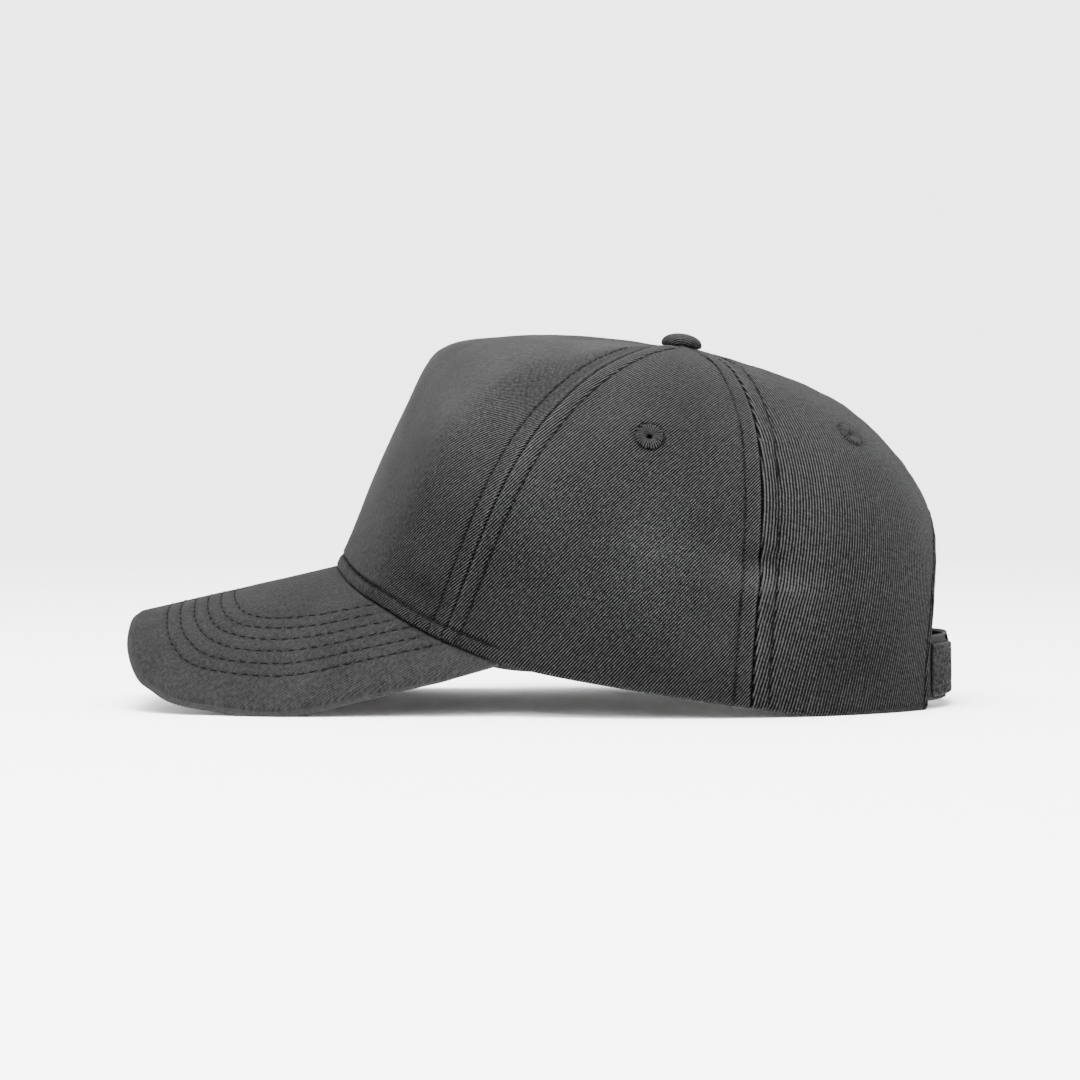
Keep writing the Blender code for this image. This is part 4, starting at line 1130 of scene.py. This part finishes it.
disc_top = -(CLOTH_WALL + 3 * BUTTON_CLEARANCE)
disc_foot = disc_top - BACKING_THICKNESS
stem = BUTTON_HOLE_RADIUS - BUTTON_CLEARANCE
button_profile = [(0.00004, disc_foot), (BACKING_RADIUS * 0.96, disc_foot),
                  (BACKING_RADIUS, disc_top - BACKING_THICKNESS * 0.7), (BACKING_RADIUS, disc_top),
                  (stem, disc_top), (stem, 0.0), (BUTTON_RADIUS * 0.9, 0.0)]
for turn in np.radians(np.linspace(-18, 89.4, 34)):
    button_profile.append((BUTTON_RADIUS * math.cos(turn),
                           max(0.00003, BUTTON_HEIGHT * (math.sin(turn) + 0.309) / 1.309)))
top_button = turned_piece("button_cover", button_profile, 144, tucked)
local = np.empty(len(top_button.data.vertices) * 3)
top_button.data.vertices.foreach_get("co", local)
local = local.reshape(-1, 3) * 1000
drawn = np.array(button_profile)[::-1] * 1000     # the cloth is drawn out from the button's top
drawn = np.concatenate([[0], np.cumsum(np.linalg.norm(np.diff(drawn, axis=0), axis=1))])[::-1]
drawn = np.tile(drawn, len(local) // len(drawn)) / np.maximum(np.hypot(local[:, 0], local[:, 1]), 0.01)
lay_cloth(top_button.data, (local[:, :2] * drawn[:, None])[corner_points(top_button.data)])
# The stored tone gets lighter towards the button's top.
mark_points(top_button.data, "wear_and_painted_shade", 0.35 * np.clip(local[:, 2] / 4.6, 0, 1) ** 2)
top_button.data.materials.append(charcoal_twill)
top_button.location = (0.0, AXIS_BACK, CROWN_HEIGHT + BUTTON_CLEARANCE)
top_button.rotation_euler = (BUTTON_TILT, 0.0, 0.0)
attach(top_button, "root")
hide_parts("top_button")


# Eyelets
# Rings of close thread worked over the edge of a small hole, one in each side panel and back panel.
# Every turn of the thread shows as a ridge from the hole to the ring's outer edge.

EYELET_THREAD_TURNS = 30
EYELET_TURN_PATH = (
    # radius from the hole's middle and height over the middle of the cloth, in millimetres
    (0.98, 0.00),
    (1.22, 0.78),
    (1.95, 1.06),
    (2.90, 1.14),
    (3.80, 1.05),
    (4.25, 0.78),
    (4.30, 0.00),
    (4.20, -0.80),
    (2.90, -1.10),
    (1.40, -0.80),
)


def worked_ring(name, seed):
    """Close turns of thread over the cloth's edge, each a loop through the hole and back through the cloth."""
    luck = np.random.default_rng(seed)
    path = np.array(EYELET_TURN_PATH) / 1000
    sides = 6
    points, faces = [], []
    for number in range(EYELET_THREAD_TURNS):
        turn = 2 * math.pi * (number + luck.uniform(-0.12, 0.12)) / EYELET_THREAD_TURNS
        stretch = 1 + luck.uniform(-0.09, 0.07)
        radius, height = path[:, 0].copy(), path[:, 1] * (1 + luck.uniform(-0.06, 0.06))
        radius[3:8] *= stretch
        thick = np.clip(radius * math.pi / EYELET_THREAD_TURNS * 0.66, 0.00011, 0.00030)
        outward = np.array([math.cos(turn), math.sin(turn), 0.0])
        aside = np.array([-math.sin(turn), math.cos(turn), 0.0])
        spine = radius[:, None] * outward + height[:, None] * np.array([0.0, 0.0, 1.0])
        run = np.roll(spine, -1, axis=0) - np.roll(spine, 1, axis=0)
        run /= np.linalg.norm(run, axis=1)[:, None]
        lift = np.cross(run, aside)
        first = number * len(path) * sides
        around = np.arange(sides) * 2 * math.pi / sides
        ring = (np.cos(around)[None, :, None] * aside + 0.8 * np.sin(around)[None, :, None] * lift[:, None])
        points.append((spine[:, None] + ring * thick[:, None, None]).reshape(-1, 3))
        for i in range(len(path)):
            for k in range(sides):
                here, on = first + i * sides, first + (i + 1) % len(path) * sides
                faces.append((here + k, here + (k + 1) % sides, on + (k + 1) % sides, on + k))
    return new_piece(name, np.concatenate(points), faces)


embroidery = spun_thread("embroidery_thread", (0.019, 0.019, 0.019))
for eyelet in EYELETS:
    for side_name, sign in (("left", 1), ("right", -1)):
        name = f"eyelet_{eyelet[0]}_{side_name}"
        ring = worked_ring(f"{name}_thread", len(name))
        place, axes = eyelet_frame(eyelet, sign)
        ring.location = place - axes[:, 2] * CLOTH_WALL / 2
        ring.rotation_euler = Vector(axes[:, 2]).to_track_quat("Z", "Y").to_euler()
        ring.data.materials.append(embroidery)
        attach(ring, "root")
        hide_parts(name)


# Strap
# Two twill tabs sewn inside the back panels, fastened across the opening by touch-and-close tape.
# The left tab carries the soft loop pile on its outer face, and the right tab lies on its far end.

STRAP_WIDTH = 0.022
STRAP_THICKNESS = 0.0012
STRAP_RAISE = 0.0025
TAB_ROOT = OPENING_WIDTH / 2 + 0.010
LOOP_TAB_TIP = -0.026
HOOK_TAB_TIP = -0.004
PILE_THICKNESS = 0.0008
PILE_BORDER = 0.003
PILE_END_BORDER = 0.002
STRAP_GAP = 0.0003                # between faces that lie on each other
TAB_HEM = 0.0016
TAB_DEPTH = CLOTH_WALL + STRAP_GAP
PILE_DEPTH = TAB_DEPTH - STRAP_GAP - PILE_THICKNESS
OVER_PILE = PILE_DEPTH - STRAP_GAP - STRAP_THICKNESS
TIP_ROUND = STRAP_WIDTH * 0.32
arch_at_strap = OPENING_WIDTH / 2 * math.sqrt(1 - ((STRAP_RAISE + STRAP_WIDTH) / OPENING_HEIGHT) ** 2)
strap_knots = np.linspace(0, TAB_ROOT, 12)
strap_bearings = np.array([bearing_at_lateral(x, STRAP_RAISE + STRAP_WIDTH / 2) for x in strap_knots])


def around_back(laterals):
    """Bearings at the strap's height for distances from the middle of the opening."""
    return np.where(laterals >= 0, 1, -1) * np.interp(np.abs(laterals), strap_knots, strap_bearings)


def tab(name, root, tip, low, high, depth_at, thickness, tip_round, hem):
    """Flat tab that follows the back of the crown, with a rounded tip and edges."""
    toward = math.copysign(1.0, root - tip)
    laterals = np.concatenate([np.linspace(root, tip + toward * tip_round, 90),
                               tip + toward * tip_round * (1 - np.sin(np.linspace(0, math.pi / 2, 26)[1:]))])
    bearing = around_back(laterals)
    away = np.minimum(1, np.abs(laterals - tip) / tip_round)
    pull = tip_round * (1 - np.sqrt(np.maximum(0, 1 - (1 - away) ** 2)))
    steps = graded(40, 0.7)[:, None]
    heights = (high - pull)[None] * (1 - steps) + (low + pull)[None] * steps
    share = 1 - heights / length_down(bearing)[None]
    place, normal = on_crown(np.broadcast_to(bearing[None], share.shape), share)
    across = np.broadcast_to(laterals[None], share.shape)
    border = np.minimum(np.minimum(heights - low, high - heights), np.abs(across - tip))
    depth = np.broadcast_to(depth_at(laterals)[None], share.shape)
    rolled = turned_edge(border, thickness * 0.48)
    relief = -0.00020 * near(border, hem, 0.0005) + 0.00008 * wander(across / 0.005 + 40, 91)
    relief *= border > 0.0006
    outer = place - normal * (depth + rolled - relief)[..., None]
    inner = place - normal * (depth + thickness - rolled)[..., None]
    flat = np.stack([(across * 0.77 + heights * 0.64) * 1000, (heights * 0.77 - across * 0.64) * 1000], axis=2)
    order = slice(None, None, 1 if toward > 0 else -1)
    piece = cloth_piece(f"{name}_cloth", outer[:, order], inner[:, order], flat[:, order],
                        0.7 * near(border[:, order], 0, 0.0007))
    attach(piece, "root")
    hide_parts(name)
    return piece


low, high = STRAP_RAISE, STRAP_RAISE + STRAP_WIDTH
loop_tab = tab("closure_loop_tab", TAB_ROOT, LOOP_TAB_TIP, low, high,
               lambda x: np.full(x.shape, TAB_DEPTH), STRAP_THICKNESS, TIP_ROUND, TAB_HEM)
hook_tab = tab("closure_hook_tab", -TAB_ROOT, HOOK_TAB_TIP, low, high,
               lambda x: np.interp(-x, [-LOOP_TAB_TIP + 0.0006, arch_at_strap], [OVER_PILE, TAB_DEPTH]),
               STRAP_THICKNESS, TIP_ROUND, TAB_HEM)
pile_patch = tab("closure_loop_patch", arch_at_strap - PILE_END_BORDER, LOOP_TAB_TIP + PILE_END_BORDER,
                 low + PILE_BORDER / 2, high - PILE_BORDER, lambda x: np.full(x.shape, PILE_DEPTH),
                 PILE_THICKNESS, TIP_ROUND - PILE_END_BORDER, 0.004)
for piece in (loop_tab, hook_tab):
    piece.data.materials.append(charcoal_twill)


def brushed_loops(name, dark, light):
    """Tangled nylon loops."""
    material, tree, shader = new_finish(name, 0.7, 0.15)
    place = wire(tree, "ShaderNodeTexCoord", {}).outputs["Object"]
    tangle = wire(tree, "ShaderNodeTexVoronoi", {"Vector": place, "Scale": 1600.0}).outputs["Distance"]
    fibre = specks(tree, place, 900.0, 4.0)
    share = wire(tree, "ShaderNodeMapRange", {0: fibre, 1: 0.35, 2: 0.65}).outputs[0]
    tree.links.new(blend_colours(tree, share, dark, light), shader.inputs["Base Color"])
    raise_threads(tree, shader, weighed(tree, (tangle, 0.7), (fibre, 1.0)), 1.0, 0.0004)
    return material


# The backing takes the loops' material in a darker copy: painted shade between the loops.
pile_patch.data.materials.append(brushed_loops("pile_backing_painted_shade", (0.0005, 0.0005, 0.0005), (0.012, 0.012, 0.012)))
loop_pile = brushed_loops("loop_pile", (0.001, 0.001, 0.001), (0.046, 0.046, 0.047))

CURL_COUNT = 2800
CURL_RADIUS = 0.00007
CURL_STEPS = 7
CURL_SIDES = 4
CURL_BORDER = 0.0006
luck = np.random.default_rng(7)
curl_x = luck.uniform(HOOK_TAB_TIP + CURL_BORDER, arch_at_strap - PILE_END_BORDER - CURL_BORDER, CURL_COUNT)
curl_z = luck.uniform(low + PILE_BORDER / 2 + CURL_BORDER, high - PILE_BORDER - CURL_BORDER, CURL_COUNT)
curl_bearing = around_back(curl_x)
curl_place, curl_up = on_crown(curl_bearing, 1 - curl_z / length_down(curl_bearing))
curl_place = curl_place - curl_up * (PILE_DEPTH + 0.0001)
upright = np.array([0.0, 0.0, 1.0])
curl_aside = np.cross(curl_up, upright)
curl_aside /= np.linalg.norm(curl_aside, axis=1)[:, None]
spin = luck.uniform(0, 2 * math.pi, CURL_COUNT)[:, None]
curl_along = curl_aside * np.cos(spin) + upright * np.sin(spin)
curl_across = np.cross(curl_up, curl_along)
size = luck.uniform(0.00050, 0.00095, CURL_COUNT)[:, None]
skew = luck.uniform(-0.7, 0.7, CURL_COUNT)[:, None]
spines = []
for t in np.linspace(0, 1, CURL_STEPS):
    turn = -0.6 + 4.3 * t
    rise = 0.25 + 0.75 * math.sin(min(turn, math.pi))
    spines.append(curl_place + curl_along * size * (math.cos(turn) * 0.55) + curl_up * size * rise
                  + curl_across * size * skew * (t - 0.5))
spines = np.array(spines).transpose(1, 0, 2)
points, faces = [], []
for number, spine in enumerate(spines):
    run = np.gradient(spine, axis=0)
    run /= np.linalg.norm(run, axis=1)[:, None]
    first_side = np.cross(run, curl_across[number] + 0.01)
    first_side /= np.linalg.norm(first_side, axis=1)[:, None]
    second_side = np.cross(run, first_side)
    start = number * CURL_SIDES * CURL_STEPS
    for k in range(CURL_SIDES):
        turn = k * 2 * math.pi / CURL_SIDES
        points.append(spine + (first_side * math.cos(turn) + second_side * math.sin(turn)) * CURL_RADIUS)
        for level in range(CURL_STEPS - 1):
            a, b = start + k * CURL_STEPS + level, start + (k + 1) % CURL_SIDES * CURL_STEPS + level
            faces.append((a, b, b + 1, a + 1))
    faces.append(tuple(start + k * CURL_STEPS for k in reversed(range(CURL_SIDES))))
    faces.append(tuple(start + (k + 1) * CURL_STEPS - 1 for k in range(CURL_SIDES)))
curls = new_piece("loop_pile_curls", np.concatenate(points), faces)
curls.data.materials.append(loop_pile)
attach(curls, "root")


# Table and light
# A plain pale table that sweeps up all round into a pale wall, under wide soft lamps.
# The camera looks at the cap's left side, one degree above level.

TABLE_RADIUS = 2.2
SWEEP_RADIUS = 1.6
WALL_HEIGHT = 4.0
WORLD_LIGHT = 0.65
LAMPS = (
    # name, place, aim, width, watts
    ("lamp_overhead", (0.45, -0.15, 1.7), (0.0, 0.0, 0.05), 0.9, 140.0),
    ("lamp_side", (1.40, -0.35, 1.20), (0.0, 0.0, 0.05), 0.5, 30.0),
    ("lamp_rear", (-1.2, 0.9, 1.8), (0.0, 0.0, 0.05), 1.4, 4.0),
    ("lamp_wall_left", (1.6, 0.0, 2.6), (3.6, 0.0, 0.5), 2.0, 120.0),
    ("lamp_wall_right", (-1.6, 0.0, 2.6), (-3.6, 0.0, 0.5), 2.0, 120.0),
    ("lamp_wall_front", (0.0, -1.6, 2.6), (0.0, -3.6, 0.5), 2.0, 120.0),
    ("lamp_wall_back", (0.0, 1.6, 2.6), (0.0, 3.6, 0.5), 2.0, 120.0),
)
CAMERA_AIM = Vector((0.0, -0.00085, 0.0555))
CAMERA_LIFT = math.radians(1.0)
CAMERA_LENS = 97.3


def bowl(name, radii_and_heights, segments=128):
    """A round floor with its rings, which get wider and higher from its middle."""
    points, faces = [(0.0, 0.0, 0.0)], []
    for radius, height in radii_and_heights:
        for k in range(segments):
            turn = 2 * math.pi * k / segments
            points.append((radius * math.cos(turn), radius * math.sin(turn), height))
    for k in range(segments):
        faces.append((0, 1 + k, 1 + (k + 1) % segments))
    for ring in range(len(radii_and_heights) - 1):
        for k in range(segments):
            a, b = 1 + ring * segments + k, 1 + ring * segments + (k + 1) % segments
            faces.append((a, a + segments, b + segments, b))
    return new_piece(name, points, faces)


sweep = [(radius, 0.0) for radius in (0.3, 0.8, 1.5, TABLE_RADIUS)]
for turn in np.linspace(0, math.pi / 2, 14)[1:]:
    sweep.append((TABLE_RADIUS + SWEEP_RADIUS * math.sin(turn), SWEEP_RADIUS - SWEEP_RADIUS * math.cos(turn)))
sweep.append((TABLE_RADIUS + SWEEP_RADIUS, WALL_HEIGHT))
table = bowl("table", sweep)
pale, pale_tree, pale_shader = new_finish("pale_table", 0.85, 0.5)
grain = wire(pale_tree, "ShaderNodeTexNoise", {"Scale": 3.0, "Detail": 3.0}).outputs["Fac"]
pale_tree.links.new(blend_colours(pale_tree, grain, (0.86, 0.86, 0.86), (0.90, 0.90, 0.90)),
                    pale_shader.inputs["Base Color"])
table.data.materials.append(pale)

world = bpy.data.worlds.new("studio")
world.use_nodes = True
world.node_tree.nodes["Background"].inputs["Color"].default_value = (1.0, 1.0, 1.0, 1.0)
world.node_tree.nodes["Background"].inputs["Strength"].default_value = WORLD_LIGHT
bpy.context.scene.world = world
for name, place, aim, width, watts in LAMPS:
    light = bpy.data.lights.new(name, "AREA")
    light.size = width
    light.energy = watts
    lamp = bpy.data.objects.new(name, light)
    lamp.location = place
    lamp.rotation_euler = (Vector(aim) - Vector(place)).to_track_quat("-Z", "Y").to_euler()
    bpy.context.scene.collection.objects.link(lamp)

camera_data = bpy.data.cameras.new("camera")
camera_data.lens = CAMERA_LENS
camera_data.sensor_width = 36.0
camera = bpy.data.objects.new("camera", camera_data)
sight = Vector((math.cos(CAMERA_LIFT), 0.0, math.sin(CAMERA_LIFT)))
camera.location = CAMERA_AIM + sight
camera.rotation_euler = sight.to_track_quat("Z", "Y").to_euler()
bpy.context.scene.collection.objects.link(camera)
bpy.context.scene.camera = camera
